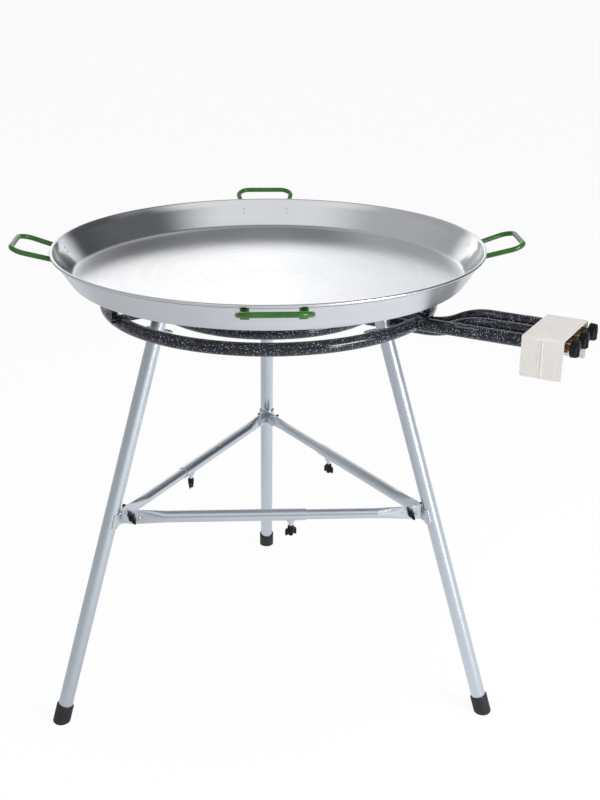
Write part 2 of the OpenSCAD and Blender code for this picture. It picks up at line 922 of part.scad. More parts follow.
// What is cut away to round the two lower corners of one skirt
module skirt_corners(side) {
    for (end = [0, 1])
        translate([end > 0 ? box_end : box_at, side * box_half, box_bottom])
            mirror([end, 0, 0])
                difference() {
                    translate([-over, -2 * box_t, -over])
                        cube([box_corner + over, 4 * box_t, box_corner + over]);
                    translate([box_corner, 0, box_corner])
                        bar_y(box_corner, -4 * box_t, 4 * box_t);
                }
}

// Bar that shares the gas among the taps, bored across for each tap
module gas_bar() {
    color("dimgray")
        feed_frame()
            difference() {
                translate([bar_at, box_mid - bar_half, tube_z - bar_h / 2])
                    cube([bar_w, 2 * bar_half, bar_h]);
                for (y = feed_ys)
                    translate([0, y, tube_z])
                        bar_x(tap_r + hole_gap, bar_at - over, bar_at + bar_w + over);
            }
}

// Tap bodies through the gas bar, each with a collar, a nose and a low-flame screw
module gas_taps() {
    collar = bar_at + bar_w;
    color("darkgoldenrod")
        feed_frame()
            for (y = feed_ys)
                translate([0, y, tube_z]) {
                    difference() {
                        union() {
                            bar_x(tap_r, tap_start, collar);
                            bar_x(tap_r + collar_rim, collar, collar + collar_t);
                            bar_x(nose_d / 2, collar + collar_t, nose_end);
                        }
                        bar_x(spindle_r + thread_gap, nose_end - spindle_in - over, nose_end + over);
                    }
                    translate([0, 0, -tap_r])
                        bar_x(flame_screw_r, collar + collar_t - over, box_end + flame_screw_out);
                }
}

// Brass jets on the taps' inner ends that blow into the feed tubes
module injectors() {
    color("gold")
        feed_frame()
            for (y = feed_ys)
                translate([feed_end - jet_in, y, tube_z])
                    rotate([0, 90, 0])
                        cylinder(r1 = jet_tip_r, r2 = jet_root_r, h = tap_start - feed_end + jet_in);
}

// Steel plate that holds the feed tubes' ends and carries the cover
module tube_plate() {
    color("dimgray")
        feed_frame()
            difference() {
                translate([plate_at, box_mid - bar_half, tube_z - bar_h / 2])
                    cube([plate_t, 2 * bar_half, bar_h]);
                for (y = feed_ys)
                    translate([0, y, tube_z])
                        bar_x(ring_r + hole_gap, plate_at - over, plate_at + plate_t + over);
            }
}

// Hose tail on the far end of the gas bar, out through the cover's skirt
module hose_tail() {
    y0 = box_mid + bar_half;
    neck = box_half - bar_half + neck_past;
    color("gold")
        feed_frame()
            translate([bar_at + bar_w / 2, y0, tube_z]) {
                bar_y(neck_r, 0, neck);
                bar_y(hose_r, neck, neck + hose_l);
            }
}

module tap_spindle(y) {
    color("silver")
        feed_frame()
            translate([nose_end - spindle_in, y, tube_z])
                bar_x(spindle_r, 0, spindle_l);
}

// Fluted control knob with a raised pointer bar on its face
module knob(y) {
    color([0.07, 0.07, 0.08])
        feed_frame()
            translate([knob_at, y, tube_z])
                difference() {
                    union() {
                        bar_x(knob_d / 2, 0, knob_t - pointer_h);
                        translate([0, -pointer_w / 2, pointer_short - knob_d / 2])
                            cube([knob_t, pointer_w, knob_d - 2 * pointer_short]);
                    }
                    for (i = [0 : knob_flutes - 1])
                        rotate([(i + 0.5) * 360 / knob_flutes, 0, 0])
                            translate([0, 0, knob_d / 2 + flute_r / 2])
                                bar_x(flute_r, -over, knob_t + over);
                    bar_x(spindle_r + thread_gap, -over, spindle_out);
                }
}

pan_body();
pan_handle(handle_azimuths[0]);  // handle_front
pan_handle(handle_azimuths[1]);  // handle_right
pan_handle(handle_azimuths[2]);  // handle_back
pan_handle(handle_azimuths[3]);  // handle_left
burner_ring(outer_R, ring_h, outer_ports);  // outer_ring
burner_ring(middle_R, low_ring_h, middle_ports);  // middle_ring
burner_ring(inner_R, low_ring_h, inner_ports);  // inner_ring
feed_tube_outer();
low_feed_tube(feed_ys[1], pass_middle, middle_R);  // feed_tube_middle
low_feed_tube(feed_ys[2], pass_inner, inner_R);  // feed_tube_inner
support_arm(leg_azimuths[0]);  // support_arm_left
support_arm(leg_azimuths[1]);  // support_arm_right
support_arm(leg_azimuths[2]);  // support_arm_back
leg_pegs();
leg(leg_azimuths[0]);  // leg_left
leg(leg_azimuths[1]);  // leg_right
leg(leg_azimuths[2]);  // leg_back
foot(leg_azimuths[0]);  // foot_left
foot(leg_azimuths[1]);  // foot_right
foot(leg_azimuths[2]);  // foot_back
clip(leg_azimuths[0]);  // clip_left
clip(leg_azimuths[1]);  // clip_right
clip(leg_azimuths[2]);  // clip_back
leg_bracket(leg_azimuths[0]);  // bracket_left
leg_bracket(leg_azimuths[1]);  // bracket_right
leg_bracket(leg_azimuths[2]);  // bracket_back
brace_outer(brace_azimuths[0]);  // brace_outer_front
brace_outer(brace_azimuths[1]);  // brace_outer_right
brace_outer(brace_azimuths[2]);  // brace_outer_left
brace_inner(brace_azimuths[0]);  // brace_inner_front
brace_inner(brace_azimuths[1]);  // brace_inner_right
brace_inner(brace_azimuths[2]);  // brace_inner_left
brace_bolts();
wing_nut(brace_azimuths[0], -1);  // wing_nut_front_a
wing_nut(brace_azimuths[0], 1);  // wing_nut_front_b
wing_nut(brace_azimuths[1], -1);  // wing_nut_right_a
wing_nut(brace_azimuths[1], 1);  // wing_nut_right_b
wing_nut(brace_azimuths[2], -1);  // wing_nut_left_a
wing_nut(brace_azimuths[2], 1);  // wing_nut_left_b
clamp_knob(brace_azimuths[0]);  // clamp_knob_front
clamp_knob(brace_azimuths[1]);  // clamp_knob_right
clamp_knob(brace_azimuths[2]);  // clamp_knob_left
clamp_screw(brace_azimuths[0]);  // clamp_screw_front
clamp_screw(brace_azimuths[1]);  // clamp_screw_right
clamp_screw(brace_azimuths[2]);  // clamp_screw_left
tap_cover();
gas_bar();
gas_taps();
injectors();
tube_plate();
hose_tail();
knob(feed_ys[0]);  // knob_outer
knob(feed_ys[1]);  // knob_middle
knob(feed_ys[2]);  // knob_inner
tap_spindle(feed_ys[0]);  // spindle_outer
tap_spindle(feed_ys[1]);  // spindle_middle
tap_spindle(feed_ys[2]);  // spindle_inner
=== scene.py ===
"""Paella burner: finishes, moulded and welded detail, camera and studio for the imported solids."""

import json
import logging
import math
from dataclasses import dataclass
from enum import Enum
from typing import Sequence

import bpy
import numpy as np
from mathutils import Matrix


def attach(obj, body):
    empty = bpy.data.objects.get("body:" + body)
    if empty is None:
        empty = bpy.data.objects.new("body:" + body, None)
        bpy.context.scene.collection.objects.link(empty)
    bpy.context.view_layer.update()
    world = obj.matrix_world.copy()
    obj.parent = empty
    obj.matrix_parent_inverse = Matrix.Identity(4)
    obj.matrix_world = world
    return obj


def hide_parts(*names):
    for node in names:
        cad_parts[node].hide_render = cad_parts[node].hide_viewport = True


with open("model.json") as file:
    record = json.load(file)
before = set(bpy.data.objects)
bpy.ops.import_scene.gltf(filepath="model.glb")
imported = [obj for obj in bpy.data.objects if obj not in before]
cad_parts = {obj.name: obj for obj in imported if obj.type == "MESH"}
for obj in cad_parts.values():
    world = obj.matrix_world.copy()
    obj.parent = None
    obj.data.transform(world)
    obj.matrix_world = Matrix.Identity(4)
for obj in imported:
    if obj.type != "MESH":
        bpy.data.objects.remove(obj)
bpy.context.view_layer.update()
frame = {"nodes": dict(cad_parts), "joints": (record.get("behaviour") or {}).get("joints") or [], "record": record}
LOG = logging.getLogger("paella_burner")

Colour = tuple[float, float, float]
Point = tuple[float, float, float]
Span = tuple[float, float]

WHITE: Colour = (1.0, 1.0, 1.0)


def rest_place(rows: Sequence[dict], name: str) -> Point:
    """Finds the place of one of the frame's joints or mounts, in metres."""
    return tuple(next(row["pos_m"] for row in rows if row["name"] == name))


# Places that the frame gives: a nut and the clamp of the front brace, a tap and a foot.
NUT_PLACE = rest_place(frame["joints"], "wing_front_b_spin")
CLAMP_PLACE = rest_place(frame["joints"], "clamp_front_turn")
TAP_PLACE = rest_place(frame["joints"], "tap_outer_turn")
FOOT_PLACE = rest_place(frame["record"]["mounts"], "foot_right")

# Places that several pieces share: azimuths and the lean of the legs in degrees, sides in metres.
LEG_AZIMUTHS = {"left": 210.0, "right": 330.0, "back": 90.0}
LEG_SPLAY = 17.4
BRACE_AZIMUTHS = {"front": 0.0, "right": 120.0, "left": 240.0}
TAP_AZIMUTH = 328.8
TAP_SIDES = {"outer": -0.012, "middle": 0.046, "inner": 0.104}


class Grain(Enum):
    """How the marks of a metal finish run."""

    ROUND = "round the upright axis"
    ALONG = "along a tube"
    CLOUD = "no direction"


class Tree:
    """A small wrapper that adds and links shader nodes."""

    def __init__(self, tree: bpy.types.NodeTree) -> None:
        """Keeps the tree of a material, world or node group."""
        self.tree = tree

    @classmethod
    def of(cls, owner: bpy.types.Material | bpy.types.World) -> "Tree":
        """Clears the nodes of a material or world and wraps its tree.

        Args:
            owner: The material or world.

        Returns:
            The empty tree.
        """
        owner.use_nodes = True
        owner.node_tree.nodes.clear()
        return cls(owner.node_tree)

    def add(self, kind: str, **settings: object) -> bpy.types.Node:
        """Adds a node and sets its properties.

        Args:
            kind: The node's type name.
            settings: Properties of the node by name.

        Returns:
            The new node.
        """
        node = self.tree.nodes.new(kind)
        for key, value in settings.items():
            setattr(node, key, value)
        return node

    def feed(self, socket: bpy.types.NodeSocket, value: object) -> None:
        """Links an output to a socket, or sets the socket's own value.

        Args:
            socket: The input socket.
            value: An output socket, a number or a tuple.
        """
        if isinstance(value, bpy.types.NodeSocket):
            self.tree.links.new(value, socket)
        else:
            socket.default_value = value

    def math(self, operation: str, *values: object, clamp: bool = False) -> bpy.types.NodeSocket:
        """Adds a Math node.

        Args:
            operation: The Math node's operation.
            values: Its inputs, as sockets or numbers.
            clamp: Whether the result is held between 0 and 1.

        Returns:
            The result socket.
        """
        node = self.add("ShaderNodeMath", operation=operation, use_clamp=clamp)
        for socket, value in zip(node.inputs, values):
            self.feed(socket, value)
        return node.outputs[0]

    def vector(self, operation: str, *values: object) -> bpy.types.NodeSocket:
        """Adds a Vector Math node.

        Args:
            operation: The node's operation.
            values: Its inputs; the second one of SCALE is the factor.

        Returns:
            The vector result, or the value result of a dot product or length.
        """
        node = self.add("ShaderNodeVectorMath", operation=operation)
        self.feed(node.inputs[0], values[0])
        if operation == "SCALE":
            self.feed(node.inputs["Scale"], values[1])
        elif len(values) > 1:
            self.feed(node.inputs[1], values[1])
        return node.outputs["Value" if operation in ("DOT_PRODUCT", "LENGTH") else "Vector"]

    def axes(self, vector: bpy.types.NodeSocket) -> tuple[bpy.types.NodeSocket, ...]:
        """Splits a vector.

        Args:
            vector: The vector socket.

        Returns:
            Its x, y and z sockets.
        """
        node = self.add("ShaderNodeSeparateXYZ")
        self.feed(node.inputs[0], vector)
        return tuple(node.outputs)

    def noise(self, vector: object, scale: object, detail: float = 3.0,
              rough: float = 0.5) -> bpy.types.NodeSocket:
        """Adds a Noise texture and returns its factor.

        Args:
            vector: The coordinate socket.
            scale: Noise scale per metre.
            detail: Octaves.
            rough: Weight of the finer octaves.

        Returns:
            The factor socket.
        """
        node = self.add("ShaderNodeTexNoise")
        self.feed(node.inputs["Vector"], vector)
        self.feed(node.inputs["Scale"], scale)
        self.feed(node.inputs["Detail"], detail)
        self.feed(node.inputs["Roughness"], rough)
        return node.outputs["Fac"]

    def spread(self, value: object, low: object, high: object, out_low: object, out_high: object,
               smooth: bool = False) -> bpy.types.NodeSocket:
        """Maps a range to another range.

        Args:
            value: The input socket.
            low: Start of the input range.
            high: End of the input range.
            out_low: Result at the start.
            out_high: Result at the end.
            smooth: Whether the step between is smooth.

        Returns:
            The mapped value.
        """
        node = self.add("ShaderNodeMapRange", interpolation_type="SMOOTHSTEP" if smooth else "LINEAR")
        for socket, item in zip(node.inputs, (value, low, high, out_low, out_high)):
            self.feed(socket, item)
        return node.outputs[0]

    def rise(self, value: object, span: tuple[object, object]) -> bpy.types.NodeSocket:
        """Steps smoothly from 0 at the start of a span to 1 at its end."""
        return self.spread(value, *span, 0.0, 1.0, smooth=True)

    def fall(self, value: object, span: tuple[object, object]) -> bpy.types.NodeSocket:
        """Steps smoothly from 1 at the start of a span to 0 at its end."""
        return self.spread(value, *span, 1.0, 0.0, smooth=True)

    def mix(self, factor: object, first: object, second: object) -> bpy.types.NodeSocket:
        """Mixes two colours.

        Args:
            factor: Share of the second colour.
            first: Colour at 0.
            second: Colour at 1.

        Returns:
            The mixed colour.
        """
        node = self.add("ShaderNodeMix", data_type="RGBA")
        self.feed(node.inputs["Factor"], factor)
        for name, item in (("A", first), ("B", second)):
            socket = next(s for s in node.inputs if s.name == name and s.type == "RGBA")
            self.feed(socket, (*item, 1.0) if isinstance(item, tuple) and len(item) == 3 else item)
        return next(s for s in node.outputs if s.type == "RGBA")


class Effect:
    """A shader node group that several finishes share."""

    # Smears: how much finer the second noise is, the weight of each noise, and the span that shows.
    FINER: float = 5.3
    BROAD_WEIGHT: float = 0.7
    FINE_WEIGHT: float = 0.3
    SMEAR_SPAN: Span = (0.34, 0.66)
    # Strokes and turning marks: the noise scale of their shade, where that of their height is 1.
    STROKE_SHADE: float = 0.16
    TURNING_SHADE: float = 0.11
    # Flecks: the smallest against the largest, and where the soft edge starts against the fleck's reach.
    LEAST_FLECK: float = 0.45
    SOLID_CORE: float = 0.7

    @staticmethod
    def group(name: str, inputs: dict[str, float | Point | None],
              outputs: Sequence[str]) -> tuple[Tree, bpy.types.NodeOutputs, bpy.types.NodeInputs]:
        """Makes an empty node group.

        Args:
            name: The group's name.
            inputs: Default of each input by name: a number, a direction, or None for a coordinate.
            outputs: Names of the float outputs.

        Returns:
            The wrapped tree, the sockets that carry the inputs and those that take the outputs.
        """
        tree = bpy.data.node_groups.new(name, "ShaderNodeTree")
        for key, default in inputs.items():
            kind = "NodeSocketFloat" if isinstance(default, float) else "NodeSocketVector"
            socket = tree.interface.new_socket(key, in_out="INPUT", socket_type=kind)
            if default is not None:
                socket.default_value = default
        for key in outputs:
            tree.interface.new_socket(key, in_out="OUTPUT", socket_type="NodeSocketFloat")
        wrap = Tree(tree)
        return wrap, wrap.add("NodeGroupInput").outputs, wrap.add("NodeGroupOutput").inputs

    @classmethod
    def handling(cls) -> bpy.types.NodeTree:
        """Soft smears left by handling: two noises of different size, added by weight.

        Returns:
            A group with Vector, Size, Low and High in, and Value out.
        """
        inputs = {"Vector": None, "Size": 9.0, "Low": 0.2, "High": 0.4}
        t, given, out = cls.group("handling_smears", inputs, ["Value"])
        broad = t.noise(given["Vector"], given["Size"], detail=4.0, rough=0.6)
        fine = t.noise(given["Vector"], t.math("MULTIPLY", given["Size"], cls.FINER), rough=0.6)
        both = t.math("ADD", t.math("MULTIPLY", broad, cls.BROAD_WEIGHT),
                      t.math("MULTIPLY", fine, cls.FINE_WEIGHT))
        t.feed(out["Value"], t.spread(both, *cls.SMEAR_SPAN, given["Low"], given["High"], smooth=True))
        return t.tree

    @classmethod
    def strokes(cls) -> bpy.types.NodeTree:
        """Fine strokes along a direction: noise on coordinates squeezed along that direction.

        Returns:
            A group with Vector, Axis, Across and Along in, and Height and Shade out.
        """
        inputs = {"Vector": None, "Axis": (0.0, 0.0, 1.0), "Across": 900.0, "Along": 12.0}
        t, given, out = cls.group("fine_strokes", inputs, ["Height", "Shade"])
        run = t.vector("DOT_PRODUCT", given["Vector"], given["Axis"])
        part = t.vector("SCALE", given["Axis"], run)
        side = t.vector("SUBTRACT", given["Vector"], part)
        place = t.vector("ADD", t.vector("SCALE", side, given["Across"]),
                         t.vector("SCALE", part, given["Along"]))
        t.feed(out["Height"], t.noise(place, 1.0, detail=2.0, rough=0.6))
        t.feed(out["Shade"], t.noise(place, cls.STROKE_SHADE, rough=0.55))
        return t.tree

    @classmethod
    def turning(cls) -> bpy.types.NodeTree:
        """Marks that run round the upright axis: noise on (radius, height) with a slow drift in angle.

        Returns:
            A group with Vector, Density and Drift in, and Height and Shade out.
        """
        inputs = {"Vector": None, "Density": 700.0, "Drift": 3.0}
        t, given, out = cls.group("turning_marks", inputs, ["Height", "Shade"])
        x, y, z = t.axes(given["Vector"])
        radius = t.math("SQRT", t.math("ADD", t.math("MULTIPLY", x, x), t.math("MULTIPLY", y, y)))
        flat = t.vector("MULTIPLY", given["Vector"], (1.0, 1.0, 0.0))
        heading = t.vector("NORMALIZE", flat)
        place = t.add("ShaderNodeCombineXYZ")
        t.feed(place.inputs[0], t.math("MULTIPLY", radius, given["Density"]))
        t.feed(place.inputs[1], t.math("MULTIPLY", z, given["Density"]))
        drift = t.vector("ADD", place.outputs[0], t.vector("SCALE", heading, given["Drift"]))
        t.feed(out["Height"], t.noise(drift, 1.0, detail=2.0, rough=0.65))
        t.feed(out["Shade"], t.noise(drift, cls.TURNING_SHADE, rough=0.6))
        return t.tree

    @classmethod
    def speckle(cls) -> bpy.types.NodeTree:
        """Round flecks: the distance to scattered points, kept where a cell's chance and size allow.

        Returns:
            A group with Vector, Scale, Size and Share in, and Mask out.
        """
        inputs = {"Vector": None, "Scale": 300.0, "Size": 0.3, "Share": 0.5}
        t, given, out = cls.group("scattered_flecks", inputs, ["Mask"])
        cells = t.add("ShaderNodeTexVoronoi", feature="F1")
        t.feed(cells.inputs["Vector"], given["Vector"])
        t.feed(cells.inputs["Scale"], given["Scale"])
        split = t.add("ShaderNodeSeparateColor")
        t.feed(split.inputs[0], cells.outputs["Color"])
        size = t.spread(split.outputs[1], 0.0, 1.0, cls.LEAST_FLECK, 1.0)
        reach = t.math("MULTIPLY", given["Size"], size)
        inside = t.fall(cells.outputs["Distance"], (t.math("MULTIPLY", reach, cls.SOLID_CORE), reach))
        kept = t.math("LESS_THAN", split.outputs[0], given["Share"])
        t.feed(out["Mask"], t.math("MULTIPLY", inside, kept, clamp=True))
        return t.tree


@dataclass(frozen=True)
class Shared:
    """The node groups that finishes place in their own materials."""

    handling: bpy.types.NodeTree
    strokes: bpy.types.NodeTree
    turning: bpy.types.NodeTree
    speckle: bpy.types.NodeTree

    @staticmethod
    def make() -> "Shared":
        """Builds each group once."""
        return Shared(Effect.handling(), Effect.strokes(), Effect.turning(), Effect.speckle())


@dataclass(frozen=True)
class Flecks:
    """One kind of fleck: cells per metre, size within a cell, and the share of cells that hold one."""

    scale: float
    size: float
    share: float


@dataclass(frozen=True)
class Making:
    """A material in the making: its tree, Principled shader, object coordinates and the shared groups."""

    tree: Tree
    shader: bpy.types.Node
    at: bpy.types.NodeSocket
    shared: Shared

    def set(self, name: str, value: object) -> None:
        """Sets or links one input of the shader by name."""
        self.tree.feed(self.shader.inputs[name], value)

    def place(self, group: bpy.types.NodeTree, **values: object) -> bpy.types.Node:
        """Places a shared group with its own values.

        Args:
            group: The shared group.
            values: Inputs by name, apart from the coordinates.

        Returns:
            The group node.
        """
        node = self.tree.add("ShaderNodeGroup", node_tree=group)
        for key, value in {"Vector": self.at, **values}.items():
            self.tree.feed(node.inputs[key], value)
        return node

    def scatter(self, flecks: Flecks) -> bpy.types.NodeSocket:
        """Scatters one kind of fleck over the surface and gives its mask."""
        node = self.place(self.shared.speckle, Scale=flecks.scale, Size=flecks.size, Share=flecks.share)
        return node.outputs["Mask"]

    def smudge(self, low: float, high: float, size: float = 9.0) -> None:
        """Feeds the roughness with handling smears between two values, at a noise scale per metre."""
        smears = self.place(self.shared.handling, Size=size, Low=low, High=high)
        self.set("Roughness", smears.outputs["Value"])

    def bump(self, height: bpy.types.NodeSocket, strength: float, depth: float) -> None:
        """Feeds a height to the shader's normal.

        Args:
            height: The height socket.
            strength: Bump strength.
            depth: Bump depth in metres.
        """
        node = self.tree.add("ShaderNodeBump")
        for key, value in (("Strength", strength), ("Distance", depth), ("Height", height)):
            self.tree.feed(node.inputs[key], value)
        self.set("Normal", node.outputs[0])


@dataclass(frozen=True)
class Finish:
    """What every finish has: a name and the values that are the same all over."""

    name: str
    colour: Colour
    metallic: float = 0.0
    roughness: float = 0.4
    coat: float = 0.0
    specular: float = 0.5
    coat_roughness: float = 0.06

    def build(self, shared: Shared) -> bpy.types.Material:
        """Makes the material: a Principled shader with the plain values, then what the finish paints.

        Args:
            shared: The shared node groups.

        Returns:
            The finished material.
        """
        material = bpy.data.materials.new(self.name)
        material.diffuse_color = (*self.colour, 1.0)
        t = Tree.of(material)
        shader = t.add("ShaderNodeBsdfPrincipled")
        t.feed(t.add("ShaderNodeOutputMaterial").inputs[0], shader.outputs[0])
        making = Making(t, shader, t.add("ShaderNodeTexCoord").outputs["Object"], shared)
        making.set("Base Color", (*self.colour, 1.0))
        making.set("Metallic", self.metallic)
        making.set("Roughness", self.roughness)
        making.set("Coat Weight", self.coat)
        making.set("Coat Roughness", self.coat_roughness)
        making.set("Specular IOR Level", self.specular)
        self.paint(making)
        return material

    def paint(self, making: Making) -> None:
        """Adds what changes over the surface; each kind of finish has its own way."""
        raise NotImplementedError


@dataclass(frozen=True)
class SteelFinish(Finish):
    """Bare or plated metal with strokes, clouds and smears."""

    grain: Grain = Grain.CLOUD
    axis: Point = (0.0, 0.0, 1.0)
    dark: Colour = (0.4, 0.4, 0.4)
    cloud_scale: float = 60.0
    cloud_weight: float = 0.4
    mark_weight: float = 0.6
    shade_span: Span = (0.36, 0.66)
    even_marks: float = 500.0
    stroke_depth: float = 0.00002
    smear: float = 0.1
    shade_share: float = 0.5
    stroke_strength: float = 0.35
    stretch: float = 0.0

    def paint(self, making: Making) -> None:
        """Mixes two shades by marks and clouds, and adds smears and fine strokes.

        Args:
            making: The material in the making.
        """
        t = making.tree
        if self.grain is Grain.ROUND:
            marks = making.place(making.shared.turning)
        elif self.grain is Grain.ALONG:
            marks = making.place(making.shared.strokes, Axis=self.axis)
        else:
            marks = making.place(making.shared.strokes, Across=self.even_marks, Along=self.even_marks)
        cloud = t.noise(making.at, self.cloud_scale, detail=5.0, rough=0.65)
        shade = t.math("ADD", t.math("MULTIPLY", marks.outputs["Shade"], self.mark_weight),
                       t.math("MULTIPLY", cloud, self.cloud_weight))
        share = t.spread(shade, *self.shade_span, self.shade_share, 0.0, smooth=True)
        making.set("Base Color", t.mix(share, self.colour, self.dark))
        making.smudge(self.roughness - self.smear, self.roughness + self.smear)
        making.bump(marks.outputs["Height"], self.stroke_strength, self.stroke_depth)
        if self.stretch > 0.0:
            making.set("Anisotropic", self.stretch)
            round_axis = t.vector("CROSS_PRODUCT", (0.0, 0.0, 1.0), making.at)
            making.set("Tangent", t.vector("NORMALIZE", round_axis))


@dataclass(frozen=True)
class PanFinish(SteelFinish):
    """Pan steel: brushed floor, brighter polished wall and a dark line of painted shade in the crease under the
    rolled lip.
    """

    polish_from: float = 0.398
    polish_to: float = 0.412
    polish: float = 0.07
    outside: float = 0.14
    upward: float = 0.2
    lip_from: float = 0.4365
    lip_blend: float = 0.002
    lip_matt: float = 0.1
    # Painted shade in the crease under the rolled lip: its heights, the radius beyond which it lies, its soft edge
    # and its dark colour.
    crease_low: float = 0.9632
    crease_high: float = 0.9668
    crease_radius: float = 0.4362
    crease_blend: float = 0.0008
    crease_shade_colour: Colour = (0.10, 0.10, 0.105)

    def paint(self, making: Making) -> None:
        """Adds the polish, the matt lip and outside, and the painted shade in the crease to the steel.

        Beyond the floor's radius, on faces that look upwards, the roughness drops by the polish; on the lip
        and on the outside it rises. The crease gets painted shade: a dark strip of height on the outside,
        beyond the wall's radius, with soft edges.

        Args:
            making: The material in the making.
        """
        super().paint(making)
        t = making.tree
        inputs = making.shader.inputs
        colour, rough = (inputs[key].links[0].from_socket for key in ("Base Color", "Roughness"))
        height = t.axes(making.at)[2]
        radius = t.vector("LENGTH", t.vector("MULTIPLY", making.at, (1.0, 1.0, 0.0)))
        facing = t.axes(t.add("ShaderNodeNewGeometry").outputs["Normal"])[2]
        inside = t.math("GREATER_THAN", facing, self.upward)
        outside = t.math("SUBTRACT", 1.0, inside)
        polished = t.spread(radius, self.polish_from, self.polish_to, 0.0, self.polish, smooth=True)
        on_wall = t.math("MULTIPLY", inside, polished)
        lip = (self.lip_from, self.lip_from + self.lip_blend)
        on_lip = t.spread(radius, *lip, 0.0, self.lip_matt, smooth=True)
        matt = t.math("ADD", t.math("MULTIPLY", inside, on_lip), t.math("MULTIPLY", outside, self.outside))
        making.set("Roughness", t.math("ADD", rough, t.math("SUBTRACT", matt, on_wall)))
        # Painted shade: the crease under the lip is darkened in a strip of height, on the outside only.
        middle = (self.crease_low + self.crease_high) / 2.0
        half = (self.crease_high - self.crease_low) / 2.0
        off = t.math("ABSOLUTE", t.math("SUBTRACT", height, middle))
        near = t.fall(off, (half / 2.0, half))
        beyond = t.rise(radius, (self.crease_radius, self.crease_radius + self.crease_blend))
        painted_crease_shade = t.math("MULTIPLY", near, t.math("MULTIPLY", beyond, outside))
        making.set("Base Color", t.mix(painted_crease_shade, colour, self.crease_shade_colour))


@dataclass(frozen=True)
class EnamelFinish(Finish):
    """Vitreous enamel: dark glass with white flecks of two sizes."""

    fleck: Colour = (0.64, 0.68, 0.76)
    large: Flecks = Flecks(scale=310.0, size=0.32, share=0.90)
    small: Flecks = Flecks(scale=520.0, size=0.34, share=0.30)
    small_weight: float = 0.6
    patch_scale: float = 26.0
    patch_span: Span = (0.3, 0.6)
    patch_least: float = 0.45
    cloud_scale: float = 40.0
    cloud_lift: float = 1.7
    smear_less: float = 0.05
    smear_more: float = 0.1
    skin_scale: float = 160.0
    skin_strength: float = 0.25
    skin_depth: float = 0.0003
    fleck_height: float = 0.25

    def paint(self, making: Making) -> None:
        """Scatters the flecks in denser and thinner patches over dark glass with a slow wave in it.

        Args:
            making: The material in the making.
        """
        t = making.tree
        small = t.math("MULTIPLY", making.scatter(self.small), self.small_weight)
        flecks = t.math("MAXIMUM", making.scatter(self.large), small)
        patch = t.noise(making.at, self.patch_scale)
        patch = t.spread(patch, *self.patch_span, self.patch_least, 1.0, smooth=True)
        dense = t.math("MULTIPLY", flecks, patch)
        lifted = tuple(self.cloud_lift * c for c in self.colour)
        base = t.mix(t.noise(making.at, self.cloud_scale, detail=2.0), self.colour, lifted)
        making.set("Base Color", t.mix(dense, base, self.fleck))
        making.smudge(self.roughness - self.smear_less, self.roughness + self.smear_more)
        wave = t.noise(making.at, self.skin_scale)
        skin = t.math("ADD", wave, t.math("MULTIPLY", dense, self.fleck_height))
        making.bump(skin, self.skin_strength, self.skin_depth)


@dataclass(frozen=True)
class CoatedFinish(Finish):
    """Paint, thick coating, plastic or rubber: a skin with fine texture, drift of colour and smears."""

    drift: Colour = (0.5, 0.5, 0.5)
    drift_scale: float = 34.0
    drift_span: Span = (0.35, 0.68)
    skin_scale: float = 900.0
    skin_strength: float = 0.3
    skin_depth: float = 0.0001
    smear: float = 0.06
    smear_size: float = 24.0
    dust: float = 0.0
    dust_colour: Colour = (0.4, 0.39, 0.37)
    specks: Flecks = Flecks(scale=700.0, size=0.32, share=0.12)

    def paint(self, making: Making) -> None:
        """Drifts between two colours, with specks of dust, smears and a fine skin.

        Args:
            making: The material in the making.
        """
        t = making.tree
        drift = t.rise(t.noise(making.at, self.drift_scale, detail=4.0, rough=0.6), self.drift_span)
        colour = t.mix(drift, self.colour, self.drift)
        if self.dust > 0.0:
            specks = t.math("MULTIPLY", making.scatter(self.specks), self.dust)
            colour = t.mix(specks, colour, self.dust_colour)
        making.set("Base Color", colour)
        making.smudge(self.roughness - self.smear, self.roughness + self.smear, self.smear_size)
        skin = t.noise(making.at, self.skin_scale, detail=2.0)
        making.bump(skin, self.skin_strength, self.skin_depth)


def standing(right: np.ndarray, up: np.ndarray, back: np.ndarray, place: Point) -> Matrix:
    """Puts three directions and a place into the columns of a matrix.

    Args:
        right: Where local X points.
        up: Where local Y points.
        back: Where local Z points.
        place: The local origin.

    Returns:
        The matrix of a camera or lamp.
    """
    matrix = np.eye(4)
    matrix[:3] = np.column_stack([right, up, back, place])
    return Matrix(matrix.tolist())


@dataclass(frozen=True)
class Softbox:
    """A rectangular lamp that the camera never sees: its place, what it points at, its size and its watts."""

    name: str
    place: Point
    aim: Point
    width: float
    height: float
    watts: float
    mirrored: bool = True
    steep: float = 0.9

    def build(self) -> None:
        """Adds the lamp; metal shows its shape only where it is mirrored."""
        data = bpy.data.lights.new(self.name, "AREA")
        data.shape = "RECTANGLE"
        data.size = self.width
        data.size_y = self.height
        data.energy = self.watts
        lamp = bpy.data.objects.new(self.name, data)
        bpy.context.scene.collection.objects.link(lamp)
        lamp.visible_camera = False
        lamp.visible_glossy = self.mirrored
        back = np.array(self.place) - np.array(self.aim)
        back = back / np.linalg.norm(back)
        overhead = abs(back[2]) > self.steep
        side = np.cross((0.0, 1.0, 0.0) if overhead else (0.0, 0.0, 1.0), back)
        side = side / np.linalg.norm(side)
        lamp.matrix_world = standing(side, np.cross(back, side), back, self.place)


